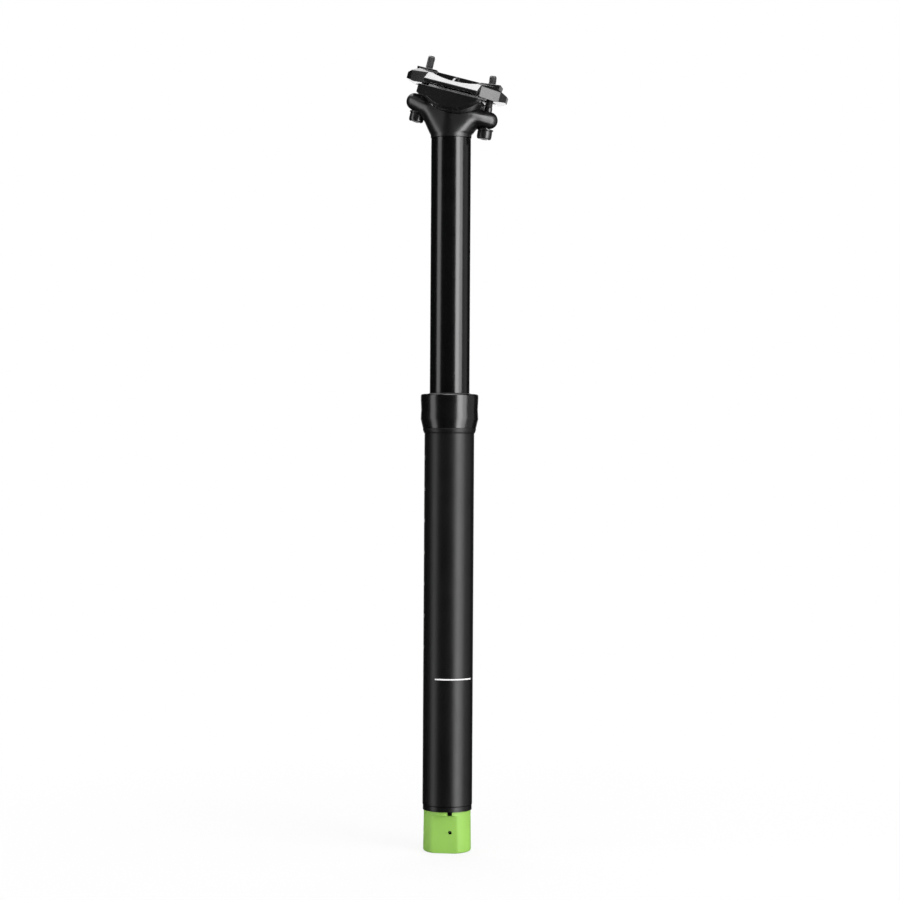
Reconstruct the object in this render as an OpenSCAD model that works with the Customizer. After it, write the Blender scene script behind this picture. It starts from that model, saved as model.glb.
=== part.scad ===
// Dropper seatpost: a saddle clamp on a stanchion that slides in an outer tube,
// with a locking gas cartridge inside and a cable actuator under a cap at the foot.
// The origin is on the post's axis, at the underside of the tube's shoulder.
// +X is the front of the bicycle, +Y its left side, and +Z runs up the post.

/* [Tubes] */
// Outside diameter of the outer tube, which slides into the frame
tube_od = 31.6; // [28:0.1:36]
// Wall of the outer tube
tube_wall = 1.9; // [1.6:0.1:2.6]
// Radial gap between the outer tube and the stanchion
guide_gap = 1.2; // [1:0.1:1.6]
// Wall of the stanchion
stanchion_wall = 2.4; // [2:0.1:3]
// How far the stanchion drops
travel = 150; // [100:5:200]
// Stanchion below the shoulder when the post is up
guide_overlap = 76; // [66:1:110]
// Stanchion left showing when the post is down
top_gap = 12.4; // [6:0.2:30]
// Gap under the stanchion when the post is down
drop_clear = 3; // [1:0.5:8]

/* [Collar] */
// Height of the tube's shoulder under the collar
shoulder_h = 3.2; // [2:0.1:5]
// How far the shoulder stands out from the tube
shoulder_step = 1.1; // [0.8:0.1:1.6]
// Height of the collar
collar_h = 21.8; // [20:0.2:30]
// Wall of the collar round its thread
collar_wall = 1.9; // [1.4:0.1:3]
// Height of the collar's lower taper
collar_taper_h = 5.9; // [3:0.1:9]
// Depth of the shallow waist round the collar
collar_waist = 0.3; // [0.1:0.05:0.6]
// Length of the thread that holds the collar
thread_h = 10.5; // [8:0.5:12]
// How far the thread stands out from the tube
thread_step = 0.6; // [0.4:0.05:0.8]
// Length of the upper bushing below its flange
bushing_len = 24; // [16:1:36]
// Thickness of the upper bushing's flange
bushing_flange = 1.5; // [1:0.1:2]
// Radial width of the wiper seal
wiper_w = 3.2; // [2.4:0.1:4]
// Height that the wiper's lip stands above the collar
wiper_lip = 0.6; // [0.3:0.1:1.2]

/* [Guides] */
// Diameter of an anti-rotation key
key_d = 3.2; // [2.8:0.1:3.6]
// Length of an anti-rotation key
key_len = 20; // [12:1:30]
// How deep a key runs in the outer tube's wall
key_bite = 0.9; // [0.6:0.05:1.1]
// Number of keys round the stanchion
key_count = 3; // [2:1:4]
// Length of the lower glide bushing
glide_len = 14; // [8:1:20]
// Depth of the groove that holds the glide bushing
glide_seat = 0.7; // [0.4:0.1:1]

/* [Cartridge] */
// Radial gap between the cartridge and the stanchion
cartridge_gap = 0.5; // [0.3:0.1:0.8]
// Wall of the cartridge cylinder
cylinder_wall = 1.2; // [0.9:0.1:1.6]
// Diameter of the cartridge rod
rod_d = 8; // [7:0.2:9]
// Diameter of the release pin that runs through the rod
pin_d = 3; // [2:0.2:4]
// Length of the gland that guides the rod
gland_len = 10; // [8:0.5:14]
// Length of the piston
piston_len = 8; // [6:0.5:10]
// Length of the floating piston
floating_len = 8; // [6:0.5:10]
// Length of the nut that holds the cartridge in the stanchion
retainer_len = 5; // [3:0.5:8]
// Thickness of an O-ring's section
seal_d = 1.8; // [1.4:0.1:2.2]

/* [Head] */
// Forward lean of the head, which levels the saddle on a raked frame
head_tilt = 15; // [8:0.5:20]
// Height of the ears' centre above the stanchion
head_rise = 17.6; // [16:0.2:24]
// Length of the head's spigot in the stanchion
spigot_len = 25; // [15:1:40]
// Reach of the rear ear's round tip
rear_reach = 24.3; // [22:0.1:27]
// Reach of the front ear's round tip
front_reach = 25.2; // [23:0.1:28]
// Radius of an ear's round tip
ear_r = 5.5; // [5:0.1:6.5]
// Half the width between the round sides of an ear
ear_spread = 0.5; // [0.2:0.1:4]
// Half the width between the round sides of the head's middle
core_spread = 8; // [5:0.5:9]

/* [Saddle clamp] */
// Diameter of a saddle rail
rail_d = 7; // [6.5:0.1:8]
// Distance between the two rails
rail_gauge = 44; // [42:0.5:46]
// Height of the rails above the ears' centre
rail_h = 10; // [9.4:0.1:11]
// Width of the slot left between the two halves of the clamp
rail_slot = 2.2; // [1.6:0.1:3.4]
// Radius of the cradle's rocking face
cradle_r = 25.7; // [24:0.1:28]
// Height of the rocking centre above the ears' centre
rock_h = 23; // [22:0.1:24.5]
// Length of the cradle
cradle_len = 40; // [34:0.5:42]
// Angle that the clamp can rock each way
rock_range = 6; // [3:0.5:7]
// Width of the clamp outside the rails
clamp_lip = 5.5; // [5:0.1:8]
// Length of the upper clamp
clamp_len = 65.5; // [63:0.5:72]
// Length of the upper clamp's rail grooves
groove_len = 35; // [28:0.5:40]
// Width of the upper clamp's horns where they leave its rail grooves
horn_root = 36; // [32:0.5:40]
// Height of the upper clamp's edge over the rails
clamp_edge = 2; // [1.6:0.1:2.6]
// Height of the upper clamp's spine above the ears' centre
clamp_top = 20.8; // [20.4:0.1:22]
// Length of the pockets beside the upper clamp's spine
pocket_len = 28; // [20:0.5:28]
// Diameter of a clamp bolt
bolt_d = 5; // [4:0.5:6]
// Distance between the two barrel nuts
nut_gauge = 42; // [40:0.5:44]
// Radius of a barrel nut
nut_r = 6.5; // [5.5:0.1:7]
// Length of a barrel nut
nut_len = 13; // [10:0.5:15]
// Height of the barrel nuts' flat tops above the ears' centre
nut_h = 22; // [21:0.1:22.5]
// Bolt left showing above the rear nut
rear_show = 8.6; // [2:0.2:12]
// Bolt left showing above the front nut
front_show = 6; // [2:0.2:12]
// Lean of the rear bolt in the head
rear_lean = 1; // [0:0.5:4]
// Lean of the front bolt in the head
front_lean = 6.5; // [3:0.5:8]

/* [Actuator] */
// Length of the foot's plug in the outer tube
foot_plug = 6.5; // [5:0.5:12]
// Height of the foot's flange
flange_h = 3; // [2:0.1:5]
// Inset of the foot's flange from the tube
flange_inset = 0.25; // [0.2:0.05:0.6]
// Height of the cap
cap_h = 26.3; // [25.6:0.1:32]
// Wall of the cap
cap_wall = 1.8; // [1.4:0.1:2.2]
// Inset of the cap's rim from the tube
cap_inset = 0.9; // [0.7:0.05:1.2]
// How much wider the cap is at its floor than at its rim
cap_flare = 0.3; // [0.1:0.05:0.5]
// Depth of the flats on the cap's two sides
cap_flat = 2.5; // [1.6:0.1:3]
// Radius of the rounded edge round the cap's floor
cap_round = 1.4; // [1:0.1:4]
// Diameter of the small hole in the cap's side
cap_hole_d = 2.4; // [1.5:0.1:3.5]
// Width of the index notch in the cap's rim
notch_w = 3; // [2:0.1:4]
// Height of the index notch in the cap's rim
notch_h = 2.6; // [1.5:0.1:3.5]
// Distance of the notch and the hole in front of the post's axis
mark_x = 3.5; // [0:0.1:4.5]
// Distance from the lever's pivot to the cable
lever_arm = 5.5; // [5.1:0.1:6.5]
// Height of the lever's nose above its pivot
nose_rise = 4.7; // [4.4:0.1:5.5]
// Width of the lever
lever_w = 5; // [4:0.5:6]
// Diameter of the lever's pivot pin
pivot_d = 3; // [2.5:0.1:3.4]
// Diameter of the barrel that holds the cable
barrel_d = 5; // [4:0.1:5.4]
// Diameter of the cable's housing
housing_d = 5; // [4:0.1:5]
// Turns of the lever's return spring
spring_turns = 4; // [3:1:5]
// Diameter of the return spring's wire
spring_wire = 0.5; // [0.4:0.05:0.6]

/* [Hidden] */
$fn = 96;
// Clearance of a fixed fit, a sliding fit and a loose fit, on the radius
fit = 0.05;
slide = 0.05;
loose = 0.3;

// Radii from the outside in
tube_r = tube_od / 2;
tube_ir = tube_r - tube_wall;
stanchion_r = tube_ir - guide_gap;
stanchion_ir = stanchion_r - stanchion_wall;
cylinder_r = stanchion_ir - cartridge_gap;
cylinder_ir = cylinder_r - cylinder_wall;
rod_r = rod_d / 2;
pin_r = pin_d / 2;
thread_r = tube_r + thread_step;
collar_r = thread_r + fit + collar_wall;

// Heights along the post
tube_top = shoulder_h + thread_h;
collar_top = shoulder_h + collar_h;
stanchion_bottom = -guide_overlap;
stanchion_top = collar_top + travel + top_gap;
tube_len = travel + guide_overlap + drop_clear + foot_plug;
flange_bottom = -tube_len - flange_h;
spigot_bottom = stanchion_top - spigot_len;
wiper_floor = tube_top + bushing_flange + 2;

// Keys and glide bushing at the foot of the stanchion
key_r = key_d / 2;
key_c = tube_ir + key_bite - key_r;
glide_z = stanchion_bottom + 2;
key_z = glide_z + glide_len + 4;

// Cartridge: gland, piston, floating piston and top plug
cylinder_z = stanchion_bottom + retainer_len;
piston_z = cylinder_z + gland_len + 3;
piston_top = piston_z + piston_len;
top_plug_len = 10;
oil_gap = 4;
floating_ratio = pow(rod_r / cylinder_ir, 2);
floating_z = piston_top + travel * (1 - floating_ratio) + oil_gap;
seal_r = seal_d / 2;

// Head and clamp, in the head's own leaning frame
head_z = stanchion_top + head_rise;
bolt_r = bolt_d / 2;
bolt_hole_r = bolt_r + loose;
washer_t = 1;
bolt_head_h = 1.1 * bolt_d;
bolt_head_r = 0.94 * bolt_d;
seat_h = -ear_r - 0.5;
clamp_half = rail_gauge / 2 + clamp_lip;
nut_pocket_r = nut_r + 0.7;
clamp_bottom = rail_h + rail_slot / 2;
cradle_top = rail_h - rail_slot / 2;
spine_half = nut_len / 2 + 1.5;
pocket_floor = rail_h + rail_d / 2 + 1.6;

// Foot and cap
cap_r = tube_r - cap_inset;
cap_ir = cap_r - cap_wall;
flat_y = cap_r + cap_flare - cap_flat;
flat_iy = flat_y - cap_wall;
cap_bottom = flange_bottom - cap_h;
cap_floor = cap_bottom + cap_wall;
spigot_h = 4;
cheek_out = flat_iy - 0.8;
cheek_t = 2;
cheek_in = cheek_out - cheek_t;
lug_r = housing_d / 2 + 1.5;
cable_x = cap_ir - lug_r - 1.3;
pivot_x = cable_x - lever_arm;
rod_nut_h = 5;
rod_nut_flats = 12;
rod_bottom = flange_bottom - rod_nut_h;
pin_show = 2;
pin_bottom = rod_bottom - pin_show;
nose_r = 2;
pivot_z = pin_bottom - loose - nose_rise;
pivot_boss_r = pivot_d / 2 + 1.7;
barrel_boss_r = barrel_d / 2 + 1.3;
bridge_t = 3.4;
bridge_top = cap_floor + 0.5 + bridge_t;
spring_top = pivot_z - barrel_boss_r - fit;
spring_mid_r = housing_d / 2 - 0.5;

// A ring that stands on z, from an inner to an outer radius
module ring(outer, inner, z0, z1) {
    translate([0, 0, z0]) difference() {
        cylinder(r = outer, h = z1 - z0);
        translate([0, 0, -1]) cylinder(r = inner, h = z1 - z0 + 2);
    }
}

// A round bar along Y, centred on the XZ plane
module bar_y(r, len) {
    rotate([90, 0, 0]) cylinder(r = r, h = len, center = true);
}

// A round bar along X, centred on the YZ plane
module bar_x(r, len) {
    rotate([0, 90, 0]) cylinder(r = r, h = len, center = true);
}

// An O-ring of mid radius r whose middle is at height z
module o_ring(r, z) {
    translate([0, 0, z]) rotate_extrude() translate([r, 0]) circle(r = seal_r, $fn = 48);
}

// The head's leaning frame, whose origin is the middle of the ears
module head_frame() {
    translate([0, 0, head_z]) rotate([0, head_tilt, 0]) children();
}

// A bolt's frame in the head: its origin is on the bolt, at the barrel nut's axis
module bolt_frame(side) {
    lean = side > 0 ? -front_lean : -rear_lean;
    head_frame() translate([side * nut_gauge / 2, 0, nut_h]) rotate([0, lean, 0]) children();
}

// Place of a bolt along the head at a height above the ears' centre
function bolt_x(side, h) = side * nut_gauge / 2 + (nut_h - h) * tan(side > 0 ? front_lean : rear_lean);

// Height in a bolt's frame of the spot face under its ear
function seat_z(side) = (seat_h - nut_h) / cos(side > 0 ? front_lean : rear_lean);

module key_bars(r, z0, z1) {
    for (i = [0 : key_count - 1])
        rotate(60 + i * 360 / key_count)
            translate([key_c, 0, z0]) cylinder(r = r, h = z1 - z0, $fn = 48);
}

module outer_tube() {
    color("#1b1b1d") difference() {
        union() {
            translate([0, 0, -tube_len]) cylinder(r = tube_r, h = tube_len + 0.01);
            rotate_extrude() polygon([
                [0, 0], [tube_r, 0], [tube_r + shoulder_step / 2, 0.6],
                [tube_r + shoulder_step, shoulder_h], [0, shoulder_h]
            ]);
            cylinder(r = thread_r, h = tube_top);
        }
        translate([0, 0, -tube_len - 1]) cylinder(r = tube_ir, h = tube_len + tube_top + 2);
        key_bars(key_r + slide, -tube_len - 1, key_z + key_len + 0.5);
    }
}

module collar() {
    web_z = tube_top + bushing_flange + fit;
    bore_r = stanchion_r + 0.6;
    pocket_r = stanchion_r + wiper_w;
    waist_mid = shoulder_h + collar_taper_h + (collar_h - collar_taper_h) * 0.38;
    edge = 0.6;
    color("#0c0c0e") rotate_extrude() polygon([
        [thread_r + fit, shoulder_h], [tube_r + shoulder_step, shoulder_h],
        [collar_r, shoulder_h + collar_taper_h],
        [collar_r - collar_waist, waist_mid],
        [collar_r, collar_top - 4], [collar_r, collar_top - edge],
        [collar_r - edge, collar_top], [pocket_r + fit, collar_top],
        [pocket_r + fit, wiper_floor], [bore_r, wiper_floor],
        [bore_r, web_z], [thread_r + fit, web_z]
    ]);
}

module wiper_seal() {
    lip_r = stanchion_r + slide;
    rim_r = stanchion_r + wiper_w;
    color("#111111") rotate_extrude() polygon([
        [lip_r + 0.6, wiper_floor], [rim_r, wiper_floor], [rim_r, collar_top - 0.6],
        [lip_r + 1.2, collar_top - 0.6], [lip_r + 0.5, collar_top + wiper_lip],
        [lip_r, collar_top + wiper_lip - 0.3], [lip_r + 0.6, collar_top - 2]
    ]);
}

module upper_bushing() {
    color("#6b6458") {
        ring(tube_ir - fit, stanchion_r + slide, tube_top - bushing_len, tube_top + 0.01);
        ring(thread_r - fit, stanchion_r + slide, tube_top, tube_top + bushing_flange);
    }
}

module actuator_foot() {
    index_w = notch_w - 0.6;
    color("#17171a") difference() {
        union() {
            translate([0, 0, -tube_len - 0.01]) cylinder(r = tube_ir - fit, h = foot_plug);
            translate([0, 0, flange_bottom]) cylinder(r = tube_r - flange_inset, h = flange_h);
            intersection() {
                translate([0, 0, flange_bottom - spigot_h])
                    cylinder(r = cap_ir - fit, h = spigot_h + 0.01);
                cube([3 * cap_r, 2 * (flat_iy - fit), 4 * tube_len], center = true);
            }
            for (side = [-1, 1])
                translate([pivot_x - 4.5, side * (cheek_out - cheek_t / 2) - cheek_t / 2, bridge_top - bridge_t])
                    cube([8, cheek_t, flange_bottom - spigot_h - bridge_top + bridge_t + 0.01]);
            translate([pivot_x - 1.5, -cheek_out, bridge_top - bridge_t])
                cube([5, 2 * cheek_out, bridge_t]);
            translate([cable_x, 0, bridge_top - bridge_t]) cylinder(r = lug_r, h = bridge_t);
            translate([mark_x - index_w / 2, -flat_y + 0.3, flange_bottom - notch_h + 0.3])
                cube([index_w, flat_y - flat_iy + 0.6, notch_h]);
        }
        translate([0, 0, -tube_len - flange_h - 1]) cylinder(r = rod_r + fit, h = tube_len);
        translate([0, 0, flange_bottom - spigot_h - 1]) cylinder(r = rod_nut_flats / 2 + 1.5, h = spigot_h + 1);
        translate([pivot_x, 0, pivot_z]) bar_y(pivot_d / 2 + fit, 4 * cap_r);
        translate([cable_x, 0, bridge_top - bridge_t - 1])
            cylinder(r = housing_d / 2 + fit, h = bridge_t - 1 + 1);
        translate([cable_x, 0, bridge_top - bridge_t]) cylinder(r = 0.9, h = bridge_t + 1);
    }
}

module rod_nut() {
    color("#8d8f94") translate([0, 0, rod_bottom]) difference() {
        cylinder(d = rod_nut_flats / cos(30), h = rod_nut_h, $fn = 6);
        translate([0, 0, -1]) cylinder(r = rod_r + fit, h = rod_nut_h + 2);
    }
}

module cartridge_rod() {
    color("#b9bbc0") ring(rod_r, pin_r + slide, rod_bottom, piston_top);
}

module piston() {
    seal_z = piston_z + piston_len / 2;
    color("#a8894a") difference() {
        ring(cylinder_ir - 2 * slide, rod_r + fit, piston_z, piston_top);
        ring(cylinder_ir + 1, cylinder_ir - slide - seal_d - fit, seal_z - seal_r - fit, seal_z + seal_r + fit);
    }
}

module piston_seal() {
    color("#202020") o_ring(cylinder_ir - slide - seal_r, piston_z + piston_len / 2);
}

module lever_pivot_pin() {
    color("#c4c6ca") translate([pivot_x, 0, pivot_z]) bar_y(pivot_d / 2, 2 * cheek_out);
}

// Points of the return spring's middle line, with a flat run at each end left out
spring_ring_count = 8;
spring_sides = 6;
spring_z0 = bridge_top + spring_wire / 2 + fit;
spring_z1 = spring_top - spring_wire / 2;
function spring_point(i) = let (a = 360 * i / spring_ring_count, n = spring_turns * spring_ring_count)
    [spring_mid_r * cos(a), spring_mid_r * sin(a), spring_z0 + (spring_z1 - spring_z0) * i / n];
spring_path = [for (i = [0 : spring_turns * spring_ring_count]) spring_point(i)];
spring_gap = min([for (i = [0 : len(spring_path) - 1 - spring_ring_count])
    norm(spring_path[i + spring_ring_count] - spring_path[i])]) - spring_wire;
echo(spring_gap = spring_gap);

module lever_spring() {
    n = spring_turns * spring_ring_count;
    points = [for (i = [0 : n]) let (a = 360 * i / spring_ring_count)
        for (k = [0 : spring_sides - 1]) let (b = 360 * k / spring_sides, w = spring_wire / 2)
            spring_path[i] + [w * cos(b) * cos(a), w * cos(b) * sin(a), w * sin(b)]];
    sides = [for (i = [0 : n - 1], k = [0 : spring_sides - 1])
        let (p = i * spring_sides + k, q = i * spring_sides + (k + 1) % spring_sides)
            each [[p, p + spring_sides, q], [q, p + spring_sides, q + spring_sides]]];
    ends = [for (k = [1 : spring_sides - 2])
        each [[0, k, k + 1], [n * spring_sides, n * spring_sides + k + 1, n * spring_sides + k]]];
    color("#c9cbd0") translate([cable_x, 0, 0]) polyhedron(points, concat(sides, ends));
}

module actuator_cap() {
    inlet_r = housing_d / 2 + 0.7;
    rim_h = 1.1 * cap_wall;
    round_n = 8;
    bottom_r = cap_r + cap_flare;
    edge = [for (i = [0 : round_n]) let (a = -90 + 90 * i / round_n)
        [bottom_r - cap_round + cap_round * cos(a), cap_bottom + cap_round + cap_round * sin(a)]];
    color("#86c440") difference() {
        intersection() {
            rotate_extrude() polygon(concat([[0, cap_bottom]], edge, [[cap_r, flange_bottom], [0, flange_bottom]]));
            union() {
                translate([-2 * cap_r, -flat_y, cap_bottom - 1]) cube([4 * cap_r, 2 * flat_y, cap_h + 2]);
                translate([-2 * cap_r, -2 * cap_r, flange_bottom - rim_h]) cube([4 * cap_r, 4 * cap_r, rim_h + 1]);
            }
        }
        intersection() {
            translate([0, 0, cap_floor]) cylinder(r = cap_ir, h = cap_h);
            translate([-2 * cap_r, -flat_iy, cap_floor - 1]) cube([4 * cap_r, 2 * flat_iy, cap_h + 2]);
        }
        translate([mark_x - notch_w / 2, -cap_r - 1, flange_bottom - notch_h])
            cube([notch_w, cap_r - flat_iy + 2, notch_h + 1]);
        translate([mark_x, -flat_y, cap_bottom + cap_h / 2]) bar_y(cap_hole_d / 2, 3 * cap_wall);
        translate([cable_x, 0, cap_bottom - 1]) cylinder(r = inlet_r, h = cap_wall + 2);
    }
}

module stanchion() {
    color("#0a0a0b") difference() {
        ring(stanchion_r, stanchion_ir, stanchion_bottom, stanchion_top);
        ring(stanchion_r + 1, stanchion_r - glide_seat, glide_z, glide_z + glide_len);
        key_bars(key_r + fit, key_z - fit, key_z + key_len + fit);
    }
}

module ear_tip(x) {
    for (side = [-1, 1])
        translate([x, side * ear_spread, 0]) sphere(r = ear_r, $fn = 32);
}

module head_core() {
    head_frame() for (side = [-1, 1])
        translate([0, side * core_spread, -1]) sphere(r = stanchion_r - 5.7, $fn = 32);
    translate([0, 0, stanchion_top + 1.5]) cylinder(r = stanchion_r + 0.3, h = 2, $fn = 32);
}

module head() {
    color("#0d0d0f") difference() {
        union() {
            hull() {
                head_frame() ear_tip(-rear_reach);
                head_core();
            }
            hull() {
                head_frame() ear_tip(front_reach);
                head_core();
            }
            translate([0, 0, stanchion_top]) cylinder(r = stanchion_r + 0.3, h = 3);
            translate([0, 0, spigot_bottom]) cylinder(r = stanchion_ir - fit, h = spigot_len + 1);
        }
        head_frame() translate([0, 0, rock_h]) bar_y(cradle_r + loose, 100);
        for (side = [-1, 1]) bolt_frame(side) {
            translate([0, 0, -60]) cylinder(r = bolt_hole_r, h = 120);
            translate([0, 0, seat_z(side) - 40]) cylinder(r = bolt_head_r + 0.8, h = 40);
        }
    }
}

module guide_keys() {
    color("#b08d3c") key_bars(key_r, key_z, key_z + key_len);
}

module glide_bushing() {
    color("#6b6458") difference() {
        ring(tube_ir - slide, stanchion_r - glide_seat + fit, glide_z + fit, glide_z + glide_len - fit);
        translate([0, -0.6, glide_z - 1]) cube([2 * tube_r, 1.2, glide_len + 2]);
    }
}

module cartridge_retainer() {
    color("#8d8f94") ring(stanchion_ir - fit, rod_r + 1, stanchion_bottom, stanchion_bottom + retainer_len);
}

module cartridge_cylinder() {
    color("#9c9ea3") ring(cylinder_r, cylinder_ir, cylinder_z, spigot_bottom);
}

module rod_gland() {
    seal_z = cylinder_z + gland_len - 3;
    color("#a8894a") difference() {
        ring(cylinder_ir - fit, rod_r + slide, cylinder_z, cylinder_z + gland_len);
        ring(rod_r + slide + seal_d + fit, rod_r - 1, seal_z - seal_r - fit, seal_z + seal_r + fit);
    }
}

module rod_seal() {
    color("#202020") o_ring(rod_r + slide + seal_r, cylinder_z + gland_len - 3);
}

module cartridge_top_plug() {
    color("#8d8f94") translate([0, 0, spigot_bottom - top_plug_len])
        cylinder(r = cylinder_ir - fit, h = top_plug_len);
}

module floating_piston() {
    seal_z = floating_z + floating_len / 2;
    color("#a8894a") difference() {
        translate([0, 0, floating_z]) cylinder(r = cylinder_ir - 2 * slide, h = floating_len);
        ring(cylinder_ir + 1, cylinder_ir - slide - seal_d - fit, seal_z - seal_r - fit, seal_z + seal_r + fit);
    }
}

module floating_seal() {
    color("#202020") o_ring(cylinder_ir - slide - seal_r, floating_z + floating_len / 2);
}

module release_pin() {
    color("#d0d2d6") translate([0, 0, pin_bottom]) cylinder(r = pin_r, h = piston_top - 2 - pin_bottom);
}

module clamp_bolts() {
    color("#141416") for (side = [-1, 1]) bolt_frame(side) difference() {
        base = seat_z(side) - washer_t - bolt_head_h;
        show = side > 0 ? front_show : rear_show;
        union() {
            translate([0, 0, base]) cylinder(r = bolt_head_r, h = bolt_head_h);
            translate([0, 0, base + bolt_head_h - 0.01]) cylinder(r = bolt_r, h = show - base - bolt_head_h);
        }
        translate([0, 0, base - 1]) cylinder(d = 0.8 * bolt_d / cos(30), h = bolt_head_h / 2 + 1, $fn = 6);
    }
}

module bolt_washers() {
    color("#1a1a1c") for (side = [-1, 1]) bolt_frame(side)
        ring(bolt_head_r + 0.5, bolt_r + fit, seat_z(side) - washer_t, seat_z(side));
}

module rail_grooves() {
    for (side = [-1, 1])
        translate([0, side * rail_gauge / 2, rail_h]) bar_x(rail_d / 2, 2 * clamp_len);
}

// Round block that rocks in the head, with a chamfer round each side
module rocker() {
    chamfer = 1.5;
    rotate([90, 0, 0]) rotate_extrude() polygon([
        [0, -clamp_half], [cradle_r - chamfer, -clamp_half], [cradle_r, chamfer - clamp_half],
        [cradle_r, clamp_half - chamfer], [cradle_r - chamfer, clamp_half], [0, clamp_half]
    ]);
}

module lower_cradle() {
    recess = [cradle_len - 15, rail_gauge - rail_d - 7];
    swing = cradle_r * sin(rock_range) + loose;
    color("#161618") head_frame() difference() {
        intersection() {
            translate([0, 0, rock_h]) rocker();
            translate([-cradle_len / 2, -clamp_half - 1, cradle_top - cradle_r])
                cube([cradle_len, 2 * clamp_half + 2, cradle_r]);
        }
        rail_grooves();
        translate([-recess[0] / 2, -recess[1] / 2, cradle_top - 4]) cube([recess[0], recess[1], 10]);
        for (side = [-1, 1]) translate([bolt_x(side, cradle_top / 2), 0, 0])
            cylinder(r = bolt_r + swing, h = 60, center = true);
    }
}

// Outline of the upper clamp seen from the side, with blunt ends that fall away from its spine
module clamp_side() {
    half = clamp_len / 2;
    fall = 4;
    polygon([
        [-half + 6, clamp_bottom], [half - 6, clamp_bottom], [half, clamp_bottom + 1.8],
        [half, clamp_top - fall], [half - 9, clamp_top],
        [-half + 9, clamp_top], [-half, clamp_top - fall], [-half, clamp_bottom + 1.8]
    ]);
}

// Outline of the upper clamp from above: a wide block at the rails and a tapered horn at each bolt
module clamp_plan() {
    tip = nut_len / 2 + 3.3;
    nose = 3.5;
    end = clamp_len / 2;
    root = groove_len / 2;
    polygon([
        [end, 1.6 * nose - tip], [end, tip - 1.6 * nose], [end - nose, tip],
        [root, horn_root / 2], [root, clamp_half], [-root, clamp_half], [-root, horn_root / 2],
        [nose - end, tip], [-end, tip - 1.6 * nose], [-end, 1.6 * nose - tip], [nose - end, -tip],
        [-root, -horn_root / 2], [-root, -clamp_half], [root, -clamp_half], [root, -horn_root / 2],
        [end - nose, -tip]
    ]);
}

// Section of the upper clamp across the rails, with shoulders that slope up to its spine
module clamp_section() {
    edge = clamp_bottom + clamp_edge;
    knee = clamp_top - 2.4;
    polygon([
        [-clamp_half, clamp_bottom], [clamp_half, clamp_bottom], [clamp_half, edge],
        [horn_root / 2, knee], [spine_half, clamp_top],
        [-spine_half, clamp_top], [-horn_root / 2, knee], [-clamp_half, edge]
    ]);
}

// Outline of the pockets in one shoulder, with a curved rim and a rib between them
module pocket_outline() {
    rim = rail_gauge / 2;
    sag = rim - horn_root / 2;
    r = (pow(pocket_len / 2, 2) + pow(sag, 2)) / (2 * sag);
    rib = 1.6;
    difference() {
        intersection() {
            translate([0, rim - r]) circle(r = r);
            translate([-pocket_len / 2, spine_half]) square([pocket_len, clamp_half]);
        }
        square([rib, 4 * clamp_half], center = true);
    }
}

module upper_clamp() {
    color("#151517") head_frame() difference() {
        intersection() {
            rotate([90, 0, 0]) linear_extrude(2 * clamp_half, center = true) clamp_side();
            linear_extrude(4 * clamp_top) clamp_plan();
            rotate([90, 0, 90]) linear_extrude(2 * clamp_len, center = true) clamp_section();
        }
        rail_grooves();
        for (side = [0, 1]) mirror([0, side, 0])
            translate([0, 0, pocket_floor]) linear_extrude(clamp_top) pocket_outline();
        for (side = [-1, 1]) translate([side * nut_gauge / 2, 0, 0]) {
            translate([0, 0, nut_h]) bar_y(nut_pocket_r, nut_len + 1);
            linear_extrude(4 * clamp_top) slot_outline();
        }
    }
}

// Slot that lets a bolt swing in the upper clamp
module slot_outline() {
    swing = 2.4;
    r = bolt_r + 0.5;
    for (side = [-1, 1]) translate([side * swing, 0]) circle(r = r);
    square([2 * swing, 2 * r], center = true);
}

module barrel_nut(side) {
    color("#1c1c1e") bolt_frame(side) difference() {
        intersection() {
            bar_y(nut_r, nut_len);
            translate([-nut_r, -nut_len / 2, -2 * nut_r]) cube([2 * nut_r, nut_len, 2 * nut_r]);
        }
        translate([0, 0, -2 * nut_r]) cylinder(r = bolt_r + slide, h = 4 * nut_r);
    }
}

module front_barrel_nut() {
    barrel_nut(1);
}

module rear_barrel_nut() {
    barrel_nut(-1);
}

// The lever's outline in the XZ plane, measured from its pivot
module lever_outline() {
    circle(r = pivot_boss_r);
    translate([lever_arm, 0]) circle(r = barrel_boss_r);
    translate([0, -pivot_boss_r * 0.7]) square([lever_arm, 1.4 * pivot_boss_r]);
    translate([-pivot_x, nose_rise - nose_r]) circle(r = nose_r);
    polygon([
        [-pivot_x - nose_r, nose_rise - nose_r], [-pivot_x + nose_r, nose_rise - nose_r],
        [pivot_boss_r * 0.7, pivot_boss_r * 0.6], [0, -pivot_boss_r * 0.8], [-pivot_boss_r * 0.7, -pivot_boss_r * 0.6]
    ]);
}

module actuator_lever() {
    color("#2a2a2e") translate([pivot_x, 0, pivot_z]) difference() {
        union() {
            rotate([90, 0, 0]) linear_extrude(lever_w, center = true) lever_outline();
            bar_y(pivot_boss_r, 2 * (cheek_in - loose));
        }
        bar_y(pivot_d / 2 + slide, 4 * cap_r);
        translate([lever_arm, 0, 0]) bar_y(barrel_d / 2 + fit, 4 * cap_r);
        translate([lever_arm - 0.8, -0.8, -2 * barrel_boss_r]) cube([3 * barrel_boss_r, 1.6, 2 * barrel_boss_r]);
    }
}

module cable_barrel() {
    len = lever_w + 3;
    color("#b9bbc0") translate([cable_x, 0, pivot_z]) difference() {
        bar_y(barrel_d / 2, len);
        cylinder(r = 0.8, h = 2 * barrel_d, center = true);
        translate([0, len / 2, 0]) bar_y(barrel_d / 4 + fit, len - 2);
    }
}

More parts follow.
